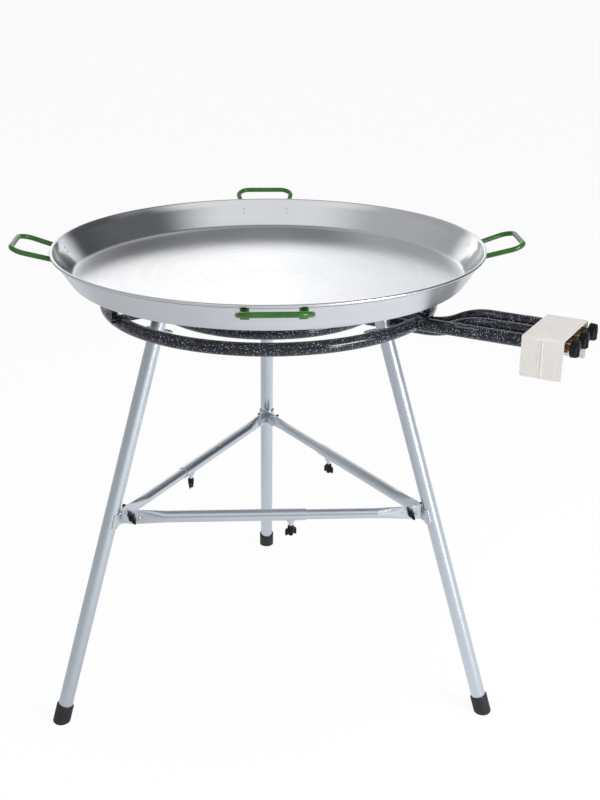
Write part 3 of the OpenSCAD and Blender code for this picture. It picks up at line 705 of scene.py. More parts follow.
@dataclass
class Studio:
    """White studio: camera at the photograph's place, floor, sky and softboxes.

    The sky is mixed from colours by the x, y and z of a direction. Each colour comes in between the two
    values of its span.
    """

    eye: Point = (-0.0487, -2.4217, 1.5671)
    pitch: float = 21.25
    yaw: float = 2.70
    roll: float = 0.30
    focal_px: float = 1202.6
    frame_px: float = 800.0
    sensor: float = 36.0
    far_clip: float = 200.0
    floor_size: float = 90.0
    paper: float = 0.86
    glow_seen: float = 0.88
    glow_mirrored: float = 0.8
    paper_white: float = 1.03
    # Painted light that only mirrors see on the floor: its cool tint, a glow that rises across x, and one pool of
    # light.
    cool_mirrored_glow: Colour = (0.84, 0.87, 0.93)
    painted_glow_x: Span = (-1.1, 0.7)
    painted_glow_span: Span = (0.60, 1.04)
    painted_pool: Point = (-1.5, 1.5, 0.0)
    painted_pool_reach: Span = (0.4, 1.2)
    ambient: Colour = (0.52, 0.53, 0.55)
    left_side: Colour = (0.40, 0.41, 0.43)
    room: Colour = (0.33, 0.34, 0.36)
    room_x: Span = (-0.9, 0.3)
    far_corner: Colour = (0.08, 0.085, 0.09)
    corner_x: Span = (0.35, 0.6)
    corner_y: Span = (-0.1, 0.3)
    ceiling: Colour = (0.46, 0.465, 0.475)
    dim_ceiling: Colour = (0.12, 0.125, 0.13)
    dim_ceiling_x: Span = (0.1, 0.65)
    zenith: Colour = (0.24, 0.245, 0.255)
    zenith_z: Span = (0.86, 0.97)
    front_top: Colour = (0.82, 0.83, 0.85)
    behind_y: Span = (-0.55, -0.12)
    above_z: Span = (0.3, 0.55)
    wall: Colour = (1.28, 1.28, 1.28)
    wall_y: Span = (0.72, 0.92)
    wall_top_z: Span = (0.3, 0.6)
    wall_end: Colour = (0.92, 0.94, 0.97)
    wall_end_x: Span = (0.0, 0.18)
    lamps: tuple[Softbox, ...] = (
        Softbox("key_softbox", (2.5, -2.1, 1.9), (0.0, 0.0, 0.7), width=1.4, height=0.6, watts=56.0),
        Softbox("fill_softbox", (-1.9, -2.7, 2.0), (0.0, 0.0, 0.7), width=3.0, height=3.0, watts=30.0,
                mirrored=False),
        Softbox("strip_softbox", (2.1, -2.5, 0.85), (0.0, 0.0, 0.6), width=0.5, height=1.5, watts=14.0),
        Softbox("top_softbox", (0.0, 0.4, 3.6), (0.0, 0.0, 0.7), width=2.6, height=2.6, watts=18.0,
                mirrored=False),
    )

    def build(self) -> None:
        """Makes the camera, the world, the floor and the lamps."""
        self.camera()
        self.sky()
        self.floor()
        for lamp in self.lamps:
            lamp.build()
        LOG.info("studio ready")

    def camera(self) -> None:
        """Places the camera: pitch down, yaw clockwise from +Y, then roll about the view."""
        pitch, yaw, roll = (math.radians(a) for a in (self.pitch, self.yaw, self.roll))
        ahead = np.array([math.sin(yaw) * math.cos(pitch), math.cos(yaw) * math.cos(pitch), -math.sin(pitch)])
        level = np.array([math.cos(yaw), -math.sin(yaw), 0.0])
        upright = np.cross(level, ahead)
        right = math.cos(roll) * level + math.sin(roll) * upright
        up = math.cos(roll) * upright - math.sin(roll) * level
        data = bpy.data.cameras.new("camera")
        data.sensor_width = self.sensor
        data.lens = self.focal_px / self.frame_px * self.sensor
        data.clip_end = self.far_clip
        camera = bpy.data.objects.new("camera", data)
        bpy.context.scene.collection.objects.link(camera)
        camera.matrix_world = standing(right, up, -ahead, self.eye)
        bpy.context.scene.camera = camera

    def sky(self) -> None:
        """White for camera rays, an even pale light, and for mirrors a white wall low behind the object.

        Away from that wall the mirrors see a grey room: a little paler low on the left, dimmer high on the
        right and straight up, dark in the far right corner, and paler high up on the camera's side.
        """
        world = bpy.data.worlds.new("studio")
        bpy.context.scene.world = world
        t = Tree.of(world)
        x, y, z = t.axes(t.add("ShaderNodeTexCoord").outputs["Generated"])
        side = t.mix(t.rise(x, self.room_x), self.left_side, self.room)
        corner = t.math("MULTIPLY", t.rise(x, self.corner_x), t.rise(y, self.corner_y))
        side = t.mix(corner, side, self.far_corner)
        ceiling = t.mix(t.rise(x, self.dim_ceiling_x), self.ceiling, self.dim_ceiling)
        ceiling = t.mix(t.rise(z, self.zenith_z), ceiling, self.zenith)
        above = t.mix(t.rise(y, self.behind_y), self.front_top, ceiling)
        room = t.mix(t.rise(z, self.above_z), side, above)
        on_wall = t.math("MULTIPLY", t.rise(y, self.wall_y), t.fall(z, self.wall_top_z))
        wall = t.mix(t.rise(x, self.wall_end_x), self.wall, self.wall_end)
        path = t.add("ShaderNodeLightPath")
        colour = t.mix(self.mirrored(t, path), self.ambient, t.mix(on_wall, room, wall))
        background = t.add("ShaderNodeBackground")
        t.feed(background.inputs["Color"], t.mix(path.outputs["Is Camera Ray"], colour, WHITE))
        t.feed(t.add("ShaderNodeOutputWorld").inputs[0], background.outputs[0])

    @staticmethod
    def mirrored(t: Tree, path: bpy.types.Node) -> bpy.types.NodeSocket:
        """Gives 1 for the rays that metal and glass send, by a tree's Light Path node, else 0."""
        return t.math("MAXIMUM", path.outputs["Is Glossy Ray"], path.outputs["Is Transmission Ray"])

    def floor(self) -> None:
        """Pale floor, white to the camera with a faint shadow.

        Mirrors see a cool painted glow on it, dimmer on the left but for one painted pool of light.
        """
        half = self.floor_size / 2
        mesh = bpy.data.meshes.new("floor")
        corners = [(-half, -half, 0), (half, -half, 0), (half, half, 0), (-half, half, 0)]
        mesh.from_pydata(corners, [], [(0, 1, 2, 3)])
        plane = bpy.data.objects.new("floor", mesh)
        bpy.context.scene.collection.objects.link(plane)
        material = bpy.data.materials.new("floor_paper")
        t = Tree.of(material)
        paper = t.add("ShaderNodeBsdfDiffuse")
        paper.inputs["Color"].default_value = (self.paper, self.paper, self.paper, 1.0)
        path = t.add("ShaderNodeLightPath")
        seen = path.outputs["Is Camera Ray"]
        at = t.add("ShaderNodeTexCoord").outputs["Object"]
        # Painted light for mirrors: the glow rises across x and peaks in one painted pool of light.
        painted_glow = t.spread(t.axes(at)[0], *self.painted_glow_x, *self.painted_glow_span, smooth=True)
        away = t.vector("LENGTH", t.vector("SUBTRACT", at, self.painted_pool))
        painted_glow = t.math("MAXIMUM", painted_glow, t.fall(away, self.painted_pool_reach))
        glow = t.add("ShaderNodeEmission")
        t.feed(glow.inputs["Strength"], t.spread(seen, 0.0, 1.0, painted_glow, self.paper_white))
        t.feed(glow.inputs["Color"], t.mix(seen, self.cool_mirrored_glow, WHITE))
        share = t.math("ADD", t.math("MULTIPLY", seen, self.glow_seen),
                       t.math("MULTIPLY", self.mirrored(t, path), self.glow_mirrored))
        blend = t.add("ShaderNodeMixShader")
        for socket, value in zip(blend.inputs, (share, paper.outputs[0], glow.outputs[0])):
            t.feed(socket, value)
        t.feed(t.add("ShaderNodeOutputMaterial").inputs[0], blend.outputs[0])
        mesh.materials.append(material)


class Wardrobe:
    """All finishes of the burner, each made once."""

    def __init__(self, shared: Shared) -> None:
        """Makes the finishes that solids and new pieces share.

        Args:
            shared: The shared node groups.
        """
        self.shared = shared
        self.enamel = EnamelFinish("speckled_enamel", (0.0045, 0.0055, 0.0100), roughness=0.16, coat=0.25,
                                   specular=0.4).build(shared)
        self.plate = SteelFinish("zinc_plate", (0.70, 0.735, 0.77), metallic=1.0, roughness=0.33,
                                 dark=(0.56, 0.60, 0.64), smear=0.05, stroke_strength=0.1).build(shared)
        self.plastic = CoatedFinish("knob_plastic", (0.004, 0.004, 0.005), roughness=0.2, specular=0.22,
                                    drift=(0.006, 0.006, 0.007), skin_scale=1800.0, skin_depth=0.00004,
                                    dust=0.03).build(shared)
        self.cream = CoatedFinish("cream_paint", (0.76, 0.725, 0.685), roughness=0.42,
                                  drift=(0.73, 0.69, 0.645), skin_scale=420.0,
                                  skin_depth=0.00012).build(shared)
        self.pan = PanFinish("pan_steel", (0.82, 0.825, 0.835), metallic=1.0, roughness=0.19,
                             grain=Grain.ROUND, dark=(0.68, 0.685, 0.70), cloud_scale=5.0, smear=0.012,
                             shade_share=0.3, stroke_depth=0.000012, stroke_strength=0.15,
                             stretch=0.35).build(shared)

    def dress(self) -> None:
        """Puts a finish on every solid."""
        self.put(self.pan, "pan_body")
        self.put(self.green(), "handle_")
        self.put(self.enamel, "outer_ring", "middle_ring", "inner_ring")
        self.put(self.enamel, "feed_tube", "support_arm", "leg_pegs")
        for key, azimuth in LEG_AZIMUTHS.items():
            tilt, turn = math.radians(LEG_SPLAY), math.radians(azimuth)
            axis = (-math.sin(tilt) * math.cos(turn), -math.sin(tilt) * math.sin(turn), math.cos(tilt))
            self.put(self.zinc("zinc_leg_" + key, axis), "leg_" + key)
        for key, azimuth in BRACE_AZIMUTHS.items():
            turn = math.radians(azimuth)
            axis = (math.cos(turn), math.sin(turn), 0.0)
            self.put(self.zinc("zinc_brace_" + key, axis), "brace_outer_" + key, "brace_inner_" + key)
        self.put(self.plate, "bracket_")
        self.put(self.rubber(), "foot_")
        self.put(self.bright(), "clip_", "brace_bolts", "clamp_screw", "spindle_")
        self.put(self.plastic, "wing_nut", "clamp_knob", "knob_")
        self.put(self.cream, "tap_cover")
        self.put(self.mill(), "gas_bar", "tube_plate")
        self.put(self.brass(), "gas_taps", "injectors", "hose_tail")

    @staticmethod
    def put(material: bpy.types.Material, *starts: str) -> None:
        """Gives a material to the solids whose node name starts with one of the words.

        Args:
            material: The material.
            starts: Node names or their first letters.
        """
        for name, solid in frame["nodes"].items():
            if name.startswith(starts) and solid.type == "MESH":
                solid.data.materials.clear()
                solid.data.materials.append(material)

    def green(self) -> bpy.types.Material:
        """Thick gloss green coating of the handles."""
        return CoatedFinish("handle_coating", (0.024, 0.125, 0.008), roughness=0.24, coat=0.15,
                            drift=(0.018, 0.1, 0.006), skin_scale=260.0, skin_depth=0.0002).build(self.shared)

    def zinc(self, name: str, axis: Point) -> bpy.types.Material:
        """Zinc-plated tube with soft streaks along its axis."""
        return SteelFinish(name, (0.69, 0.73, 0.765), metallic=1.0, roughness=0.31, grain=Grain.ALONG,
                           axis=axis, dark=(0.60, 0.64, 0.68), smear=0.03, shade_share=0.35,
                           stroke_strength=0.05).build(self.shared)

    def bright(self) -> bpy.types.Material:
        """Bright drawn steel of wire and screws."""
        return SteelFinish("bright_steel", (0.74, 0.75, 0.77), metallic=1.0, roughness=0.24,
                           dark=(0.55, 0.56, 0.57), smear=0.06).build(self.shared)

    def mill(self) -> bpy.types.Material:
        """Plain dark steel of the gas bar and plate."""
        return SteelFinish("mill_steel", (0.16, 0.16, 0.17), metallic=0.9, roughness=0.5,
                           dark=(0.08, 0.08, 0.085), smear=0.1).build(self.shared)

    def brass(self) -> bpy.types.Material:
        """Dulled brass of taps, jets and hose tail."""
        return SteelFinish("dull_brass", (0.30, 0.165, 0.05), metallic=1.0, roughness=0.38,
                           dark=(0.11, 0.06, 0.02), smear=0.1, shade_share=0.8).build(self.shared)

    def rubber(self) -> bpy.types.Material:
        """Moulded black rubber of the feet."""
        return CoatedFinish("foot_rubber", (0.011, 0.011, 0.012), roughness=0.6,
                            drift=(0.019, 0.019, 0.02), skin_scale=1400.0, skin_depth=0.0003,
                            dust=0.25).build(self.shared)


@dataclass(frozen=True)
class Patch:
    """A closed grid of surface points in metres: rows along a shape, columns round it."""

    points: np.ndarray
    wrap_rows: bool = False

    def parts(self) -> tuple[np.ndarray, np.ndarray, np.ndarray]:
        """Splits the grid into vertices, four-sided faces and end fans, all facing outwards.

        Columns always close. Rows close too, or each end gets a middle point with a fan of triangles. The
        faces are turned round where the signed volume, a sum of a . (b x c) / 6, comes out negative.

        Returns:
            Vertices, quads and triangles.
        """
        rows, cols = self.points.shape[:2]
        vertices = self.points.reshape(-1, 3)
        r, c = np.meshgrid(np.arange(rows if self.wrap_rows else rows - 1), np.arange(cols), indexing="ij")
        r2, c2 = (r + 1) % rows, (c + 1) % cols
        quads = np.stack([r * cols + c, r * cols + c2, r2 * cols + c2, r2 * cols + c], axis=-1).reshape(-1, 4)
        triangles = np.zeros((0, 3), dtype=int)
        if not self.wrap_rows:
            ring = np.arange(cols)
            first, last = len(vertices), len(vertices) + 1
            vertices = np.vstack([vertices, self.points[0].mean(axis=0), self.points[-1].mean(axis=0)])
            start = np.stack([np.full(cols, first), (ring + 1) % cols, ring], axis=-1)
            base = (rows - 1) * cols
            end = np.stack([np.full(cols, last), base + ring, base + (ring + 1) % cols], axis=-1)
            triangles = np.vstack([start, end])
        halves = np.vstack([quads[:, [0, 1, 2]], quads[:, [0, 2, 3]], triangles])
        a, b, d = (vertices[halves[:, k]] for k in range(3))
        if np.einsum("ij,ij->i", a, np.cross(b, d)).sum() < 0.0:
            quads, triangles = quads[:, ::-1], triangles[:, ::-1]
        return vertices, quads, triangles


class Workshop:
    """Turns surface grids into pieces that ride on a body."""

    # The taper of an open bead: the part of a half sine that it follows, and the power that blunts it.
    TAPER_SPAN: Span = (0.02, 0.98)
    TAPER_POWER: float = 0.25

    @staticmethod
    def make(name: str, patches: Sequence[Patch], material: bpy.types.Material, body: str, slot: str,
             stands_for: Sequence[str] = (), sharp: float = 50.0) -> None:
        """Builds one mesh object from closed patches.

        Args:
            name: The piece's name.
            patches: Its closed surfaces.
            material: Its finish.
            body: The body that it rides on.
            slot: The record's material slot; not used.
            stands_for: Solids that the piece takes the place of.
            sharp: Edges over this angle, in degrees, stay sharp.
        """
        vertices, quads, triangles, base = [], [], [], 0
        for patch in patches:
            v, q, t = patch.parts()
            vertices.append(v)
            quads.append(q + base)
            triangles.append(t + base)
            base += len(v)
        points, fours, threes = np.concatenate(vertices), np.concatenate(quads), np.concatenate(triangles)
        corners = np.concatenate([fours.ravel(), threes.ravel()]).astype(np.int32)
        starts = np.concatenate([np.arange(len(fours)) * 4, len(fours) * 4 + np.arange(len(threes)) * 3])
        mesh = bpy.data.meshes.new(name)
        mesh.vertices.add(len(points))
        mesh.vertices.foreach_set("co", points.astype(np.float32).ravel())
        mesh.loops.add(len(corners))
        mesh.loops.foreach_set("vertex_index", corners)
        mesh.polygons.add(len(starts))
        mesh.polygons.foreach_set("loop_start", starts.astype(np.int32))
        mesh.polygons.foreach_set("use_smooth", np.ones(len(starts), dtype=bool))
        mesh.update(calc_edges=True)
        mesh.set_sharp_from_angle(angle=math.radians(sharp))
        mesh.materials.append(material)
        piece = bpy.data.objects.new(name, mesh)
        bpy.context.scene.collection.objects.link(piece)
        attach(piece, body)
        if stands_for:
            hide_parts(*stands_for)
        LOG.info("%s: %d faces on %s", name, len(starts), body)

    @staticmethod
    def turned(points: np.ndarray, azimuth: float) -> np.ndarray:
        """Turns points about the upright axis.

        Args:
            points: Points in the last axis.
            azimuth: Degrees from +X.

        Returns:
            The turned points: x cos a - y sin a, x sin a + y cos a, z.
        """
        a = math.radians(azimuth)
        x, y, z = points[..., 0], points[..., 1], points[..., 2]
        return np.stack([x * math.cos(a) - y * math.sin(a), x * math.sin(a) + y * math.cos(a), z], axis=-1)

    @staticmethod
    def bead(path: np.ndarray, radius: float, hint: np.ndarray, ripple: float = 0.14, pitch: float = 0.003,
             closed: bool = False, sides: int = 10) -> Patch:
        """Lays a weld bead along a path.

        A circle is carried along the path, square to it; its radius swells and shrinks as a sine of the
        length run, and tapers at the two ends of an open bead as the fourth root of a half sine.

        Args:
            path: Points of the middle line.
            radius: Mean radius of the bead.
            hint: A direction that is never along the path.
            ripple: Share by which the radius swells.
            pitch: Length of one ripple.
            closed: Whether the path joins its own start.
            sides: Points round the bead.

        Returns:
            The bead's surface.
        """
        ahead = np.roll(path, -1, axis=0) - np.roll(path, 1, axis=0) if closed else np.gradient(path, axis=0)
        ahead = ahead / np.linalg.norm(ahead, axis=1, keepdims=True)
        side = np.cross(ahead, hint)
        side = side / np.linalg.norm(side, axis=1, keepdims=True)
        up = np.cross(side, ahead)
        steps = np.linalg.norm(np.diff(path, axis=0), axis=1)
        run = np.concatenate([[0.0], np.cumsum(steps)])
        size = radius * (1.0 + ripple * np.sin(2.0 * math.pi * run / pitch))
        if not closed:
            share = np.linspace(*Workshop.TAPER_SPAN, len(path))
            size = size * np.sin(math.pi * share) ** Workshop.TAPER_POWER
        angle = np.linspace(0.0, 2.0 * math.pi, sides, endpoint=False)
        ring = side[:, None, :] * np.cos(angle)[None, :, None] + up[:, None, :] * np.sin(angle)[None, :, None]
        return Patch(path[:, None, :] + ring * size[:, None, None], wrap_rows=closed)

    @staticmethod
    def lathe(profile: np.ndarray, sides: int, wrap_rows: bool = False) -> Patch:
        """Turns a profile of (radius, height) pairs round the Z axis.

        Args:
            profile: Pairs in order, from one end to the other.
            sides: Points round the axis.
            wrap_rows: Whether the profile joins its own start.

        Returns:
            The turned surface: r cos a, r sin a, h.
        """
        angle = np.linspace(0.0, 2.0 * math.pi, sides, endpoint=False)
        r, h = profile[:, 0:1], profile[:, 1:2]
        grid = np.stack([r * np.cos(angle), r * np.sin(angle), np.repeat(h, sides, axis=1)], axis=-1)
        return Patch(grid, wrap_rows)

    @staticmethod
    def softened(corners: Sequence[Span], radius: float, steps: int) -> np.ndarray:
        """Rounds the corners of an open profile, all but its two ends, with short curves.

        At each corner the curve is (1-t)^2 p + 2t(1-t) c + t^2 q, where p and q lie on the two sides, a
        radius away from corner c or at most half a side.

        Args:
            corners: The profile's corners in order.
            radius: How far the rounding starts from a corner.
            steps: Points per corner.

        Returns:
            The softened profile.
        """
        c = np.array(corners, dtype=float)
        before, after = np.roll(c, 1, axis=0), np.roll(c, -1, axis=0)
        back, fore = before - c, after - c
        lb, lf = np.linalg.norm(back, axis=1, keepdims=True), np.linalg.norm(fore, axis=1, keepdims=True)
        p = c + back / lb * np.minimum(radius, lb / 2.0)
        q = c + fore / lf * np.minimum(radius, lf / 2.0)
        t = np.linspace(0.0, 1.0, steps)[None, :, None]
        curve = (1 - t) ** 2 * p[:, None] + 2 * t * (1 - t) * c[:, None] + t**2 * q[:, None]
        return np.vstack([c[:1], curve[1:-1].reshape(-1, 2), c[-1:]])


@dataclass
class RolledLip:
    """The wire-stiffened roll round the pan's rim, with the wall's sheet running smoothly up into it."""

    ring: float = 0.441
    height: float = 0.9685
    roll: float = 0.00325
    slope: float = 0.6522
    wall_off: float = 0.0015
    run_up: float = 0.018
    sunk: float = 0.0003
    steps: int = 480
    run_steps: int = 8
    roll_steps: int = 26
    first_m: float = 0.2
    rounds: int = 20

    def build(self, material: bpy.types.Material) -> None:
        """Makes the roll, in the pan's steel, from its profile turned round the pan's axis."""
        lip = Workshop.lathe(self.profile(), self.steps, wrap_rows=True)
        Workshop.make("rolled_lip", [lip], material, "pan", "pan_steel")

    def profile(self) -> np.ndarray:
        """Works out the roll's section.

        Along the wall (s) and square to it (h) the roll is a circle about (0, -off). A parabola leaves the
        wall smoothly at s = -L and meets the circle with the same slope m, which solves
        m (L - roll m / q) / 2 = roll / q - off with q = sqrt(1 + m^2), found by rounds of putting m back in.
        The section goes on round the circle to its back and returns inside the sheet.

        Returns:
            Closed loop of (radius, height) pairs.
        """
        m = self.first_m
        for _ in range(self.rounds):
            q = math.sqrt(1.0 + m**2)
            m = 2.0 * (self.roll / q - self.wall_off) / (self.run_up - self.roll * m / q)
        length = self.run_up - self.roll * m / math.sqrt(1.0 + m**2)
        share = np.linspace(0.0, 1.0, self.run_steps, endpoint=False)
        run = np.stack([share * length - self.run_up, m * length / 2.0 * share**2], axis=-1)
        turn = np.linspace(math.pi / 2.0 + math.atan(m), -math.pi, self.roll_steps)
        circle = np.stack([self.roll * np.cos(turn), self.roll * np.sin(turn) - self.wall_off], axis=-1)
        back = np.array([[-self.roll, -2.0 * self.sunk], [-self.run_up, -self.sunk]])
        s, h = np.vstack([run, circle, back]).T
        up = np.array([self.slope, 1.0]) / math.hypot(self.slope, 1.0)
        inward = np.array([-up[1], up[0]])
        foot = np.array([self.ring, self.height]) + self.wall_off * inward
        return foot + s[:, None] * up + h[:, None] * inward


@dataclass
class CoverSeam:
    """The butt seam down the skirt of the tap cover, filled and painted over."""

    azimuth: float = TAP_AZIMUTH
    along: float = 0.594
    face: float = -0.0321
    low: float = 0.7935
    high: float = 0.8672
    radius: float = 0.0004
    ripple: float = 0.05
    ripple_pitch: float = 0.011
    steps: int = 50

    def build(self, material: bpy.types.Material) -> None:
        """Makes the seam: a thin bead on a straight upright line.

        Args:
            material: The cream paint.
        """
        z = np.linspace(self.low, self.high, self.steps)
        line = np.stack([np.full_like(z, self.along), np.full_like(z, self.face), z], axis=-1)
        line = Workshop.turned(line, self.azimuth)
        bead = Workshop.bead(line, self.radius, np.array([1.0, 0.0, 0.0]), self.ripple, self.ripple_pitch)
        Workshop.make("cover_seam", [bead], material, "stand", "cream_paint")


@dataclass
class BurnerWelds:
    """Weld beads of the burner head, enamelled over with the rings and arms."""

    ring_radii: tuple[float, float, float] = (0.337, 0.224, 0.118)
    ring_heights: tuple[float, float, float] = (0.855, 0.850, 0.850)
    tube: float = 0.013
    arm_half: float = 0.003
    arm_low: float = 0.858
    arm_spans: tuple[Span, Span, Span] = ((15.0, 165.0), (42.0, 138.0), (42.0, 114.0))
    arm_bead: float = 0.0017
    peg_at: float = 0.2526
    peg_half: float = 0.0135
    peg_drop: float = 0.0003
    peg_bead: float = 0.0019
    proud: float = 0.0004
    feed_azimuth: float = TAP_AZIMUTH
    feed_sides: tuple[float, ...] = tuple(TAP_SIDES.values())
    low_heights: tuple[float, float] = (0.8275, 0.8225)
    saddle_out: float = 0.0006
    saddle_bead: float = 0.0019
    stub: float = 0.0096
    collar_bead: float = 0.0024
    arm_steps: int = 40
    peg_steps: int = 36
    saddle_steps: int = 120
    collar_steps: int = 80

    def build(self, material: bpy.types.Material) -> None:
        """Makes the beads.

        Args:
            material: The enamel.
        """
        Workshop.make("arm_welds", self.arm_beads(), material, "stand", "enamel")
        feeds = [self.saddle(), self.collar(1), self.collar(2)]
        Workshop.make("feed_welds", feeds, material, "stand", "enamel")

    def arm_beads(self) -> list[Patch]:
        """Beads in the corner between each arm's faces and each ring, and along the pegs' tops.

        On a ring the bead follows the ring's own section, a circle, between the angles where the arm ends.

        Returns:
            All beads of the three arms.
        """
        reach, out = self.tube + self.proud, self.arm_half + self.proud
        beads = []
        for azimuth in LEG_AZIMUTHS.values():
            across = Workshop.turned(np.array([0.0, 1.0, 0.0]), azimuth)
            for side in (-out, out):
                for radius, height, (low, high) in zip(self.ring_radii, self.ring_heights, self.arm_spans):
                    a = np.radians(np.linspace(low, high, self.arm_steps))
                    x, z = radius + reach * np.cos(a), height + reach * np.sin(a)
                    path = np.stack([x, np.full_like(x, side), z], axis=-1)
                    beads.append(Workshop.bead(Workshop.turned(path, azimuth), self.arm_bead, across))
                x = np.linspace(self.peg_at - self.peg_half, self.peg_at + self.peg_half, self.peg_steps)
                z = np.full_like(x, self.arm_low - self.peg_drop)
                path = np.stack([x, np.full_like(x, side), z], axis=-1)
                beads.append(Workshop.bead(Workshop.turned(path, azimuth), self.peg_bead, across))
        return beads

    def saddle(self) -> Patch:
        """Bead where the straight feed tube meets the outer ring.

        Round the tube at angle a the height is r sin a and the side step r cos a; the ring's outside there
        lies at radius R + sqrt(r^2 - height^2), so the run along the tube is the root of that squared less
        the side step squared.

        Returns:
            The closed bead.
        """
        a = np.linspace(0.0, 2.0 * math.pi, self.saddle_steps, endpoint=False)
        r = self.tube + self.proud
        rise, side = r * np.sin(a), self.feed_sides[0] + r * np.cos(a)
        ring = self.ring_radii[0] + np.sqrt(np.clip(r**2 - rise**2, 0.0, None))
        out = np.sqrt(ring**2 - side**2) + self.saddle_out
        path = np.stack([out, side, self.ring_heights[0] + rise], axis=-1)
        along = Workshop.turned(np.array([1.0, 0.0, 0.0]), self.feed_azimuth)
        return Workshop.bead(Workshop.turned(path, self.feed_azimuth), self.saddle_bead, along, closed=True)

    def collar(self, which: int) -> Patch:
        """Bead round the stub between a low feed tube and the underside of its ring.

        At angle a round the stub the bead lies half way between the tube's top, low + sqrt(r^2 - y^2), and
        the ring's underside, height - sqrt(r^2 - d^2), with y the step across the tube from its middle line
        and d the distance from the ring's middle line.

        Args:
            which: 1 for the middle ring, 2 for the inner ring.

        Returns:
            The closed bead.
        """
        a = np.linspace(0.0, 2.0 * math.pi, self.collar_steps, endpoint=False)
        side, radius = self.feed_sides[which], self.ring_radii[which]
        x = math.sqrt(radius**2 - side**2) + self.stub * np.cos(a)
        y = side + self.stub * np.sin(a)
        d = np.hypot(x, y) - radius
        top = self.low_heights[which - 1] + np.sqrt(np.clip(self.tube**2 - (y - side) ** 2, 0.0, None))
        under = self.ring_heights[which] - np.sqrt(np.clip(self.tube**2 - d**2, 0.0, None))
        path = Workshop.turned(np.stack([x, y, (top + under) / 2.0], axis=-1), self.feed_azimuth)
        return Workshop.bead(path, self.collar_bead, np.array([0.0, 0.0, 1.0]), closed=True)


@dataclass
class BracketWelds:
    """Weld beads between the leg tubes and the saddles of their brackets."""

    foot_radius: float = math.hypot(*FOOT_PLACE[:2])
    splay: float = LEG_SPLAY
    leg: float = 0.015
    height: float = NUT_PLACE[2]
    half: float = 0.0155
    beside: float = 0.0012
    proud: float = 0.0003
    bead: float = 0.0017
    steps: int = 60

    def build(self, material: bpy.types.Material) -> None:
        """Makes two straight beads per leg, along the saddle's upright edges.

        Args:
            material: The zinc finish of the plates.
        """
        tilt = math.radians(self.splay)
        out = np.array([math.cos(tilt), 0.0, math.sin(tilt)])
        along = np.array([-math.sin(tilt), 0.0, math.cos(tilt)])
        middle = self.height / math.cos(tilt)
        run = np.linspace(middle - self.half, middle + self.half, self.steps)
        beads = []
        for azimuth in LEG_AZIMUTHS.values():
            for side in (-1.0, 1.0):
                foot = np.array([self.foot_radius, side * (self.leg + self.beside), 0.0])
                path = Workshop.turned(foot + self.proud * out + run[:, None] * along, azimuth)
                beads.append(Workshop.bead(path, self.bead, Workshop.turned(out, azimuth)))
        Workshop.make("bracket_welds", beads, material, "stand", "zinc")


@dataclass
class TapKnobs:
    """Fluted control knobs, moulded with a grip ridge across the face.

    A share is a part of the knob's radius, measured from its axis.
    """

    azimuth: float = TAP_AZIMUTH
    start: float = 0.6495
    height: float = TAP_PLACE[2]
    radius: float = 0.0175
    thick: float = 0.016
    face: float = 0.013
    bore: float = 0.00305
    bore_depth: float = 0.011
    flutes: int = 12
    flute_depth: float = 0.0013
    back_in: float = 0.0002
    face_in: float = 0.0012
    rounding: float = 0.0022
    rim_share: float = 0.9
    disc_share: float = 0.88
    disc_drop: float = 0.0002
    middle: float = 0.0004
    side_share: float = 0.82
    side_blend: float = 0.12
    ridge_half: float = 0.0034
    ridge_short: float = 0.0024
    ridge_slope: float = 0.0016
    ridge_from: float = 0.0012
    ridge_blend: float = 0.001
    corner_steps: int = 6
    disc_steps: int = 26
    round_steps: int = 180
    sharp: float = 60.0

    def build(self, material: bpy.types.Material) -> None:
        """Makes one knob per tap.

        Args:
            material: The black plastic.
        """
        for key, side in TAP_SIDES.items():
            x, y, z = np.moveaxis(self.surface(), -1, 0)
            placed = np.stack([z + self.start, x + side, y + self.height], axis=-1)
            Workshop.make("fluted_knob_" + key, [Patch(Workshop.turned(placed, self.azimuth))], material,
                          "tap_" + key, "black_plastic", ("knob_" + key,), self.sharp)

    def surface(self) -> np.ndarray:
        """Works out the knob about its own axis.

        A softened profile is turned round the axis; the side's radius is cut by the flutes, depth times the
        cube of (1 + cos n a) / 2, and the face rises at the ridge by a smooth step of the distance from the
        ridge's line.

        Returns:
            Grid of points with the axis along Z.
        """
        corners = [(self.bore, self.bore_depth), (self.bore, 0.0), (self.radius - self.back_in, 0.0),
                   (self.radius - self.face_in, self.face), (self.radius * self.rim_share, self.face)]
        rim = Workshop.softened(corners, self.rounding, self.corner_steps)
        across = np.linspace(self.radius * self.disc_share, self.middle, self.disc_steps)
        disc = np.stack([across, np.full_like(across, self.face - self.disc_drop)], axis=-1)
        profile = np.vstack([rim, disc])
        angle = np.linspace(0.0, 2.0 * math.pi, self.round_steps, endpoint=False)
        r, h = profile[:, 0:1], profile[:, 1:2]
        on_side = np.clip((r - self.radius * self.side_share) / (self.radius * self.side_blend), 0.0, 1.0)
        cut = self.flute_depth * ((1.0 + np.cos(self.flutes * angle)) / 2.0) ** 3 * on_side
        r = np.where(r > 2.0 * self.bore, r - cut, r)
        x, y = r * np.cos(angle), r * np.sin(angle)
        off = np.clip((self.ridge_half - np.abs(x)) / self.ridge_slope, 0.0, 1.0)
        short = np.clip((self.radius - self.ridge_short - np.abs(y)) / self.ridge_slope, 0.0, 1.0)
        on_face = np.clip((h - self.face + self.ridge_from) / self.ridge_blend, 0.0, 1.0)
        smooth = off**2 * (3.0 - 2.0 * off) * short**2 * (3.0 - 2.0 * short) * on_face
        return np.stack([x, y, h + (self.thick - self.face) * smooth], axis=-1)


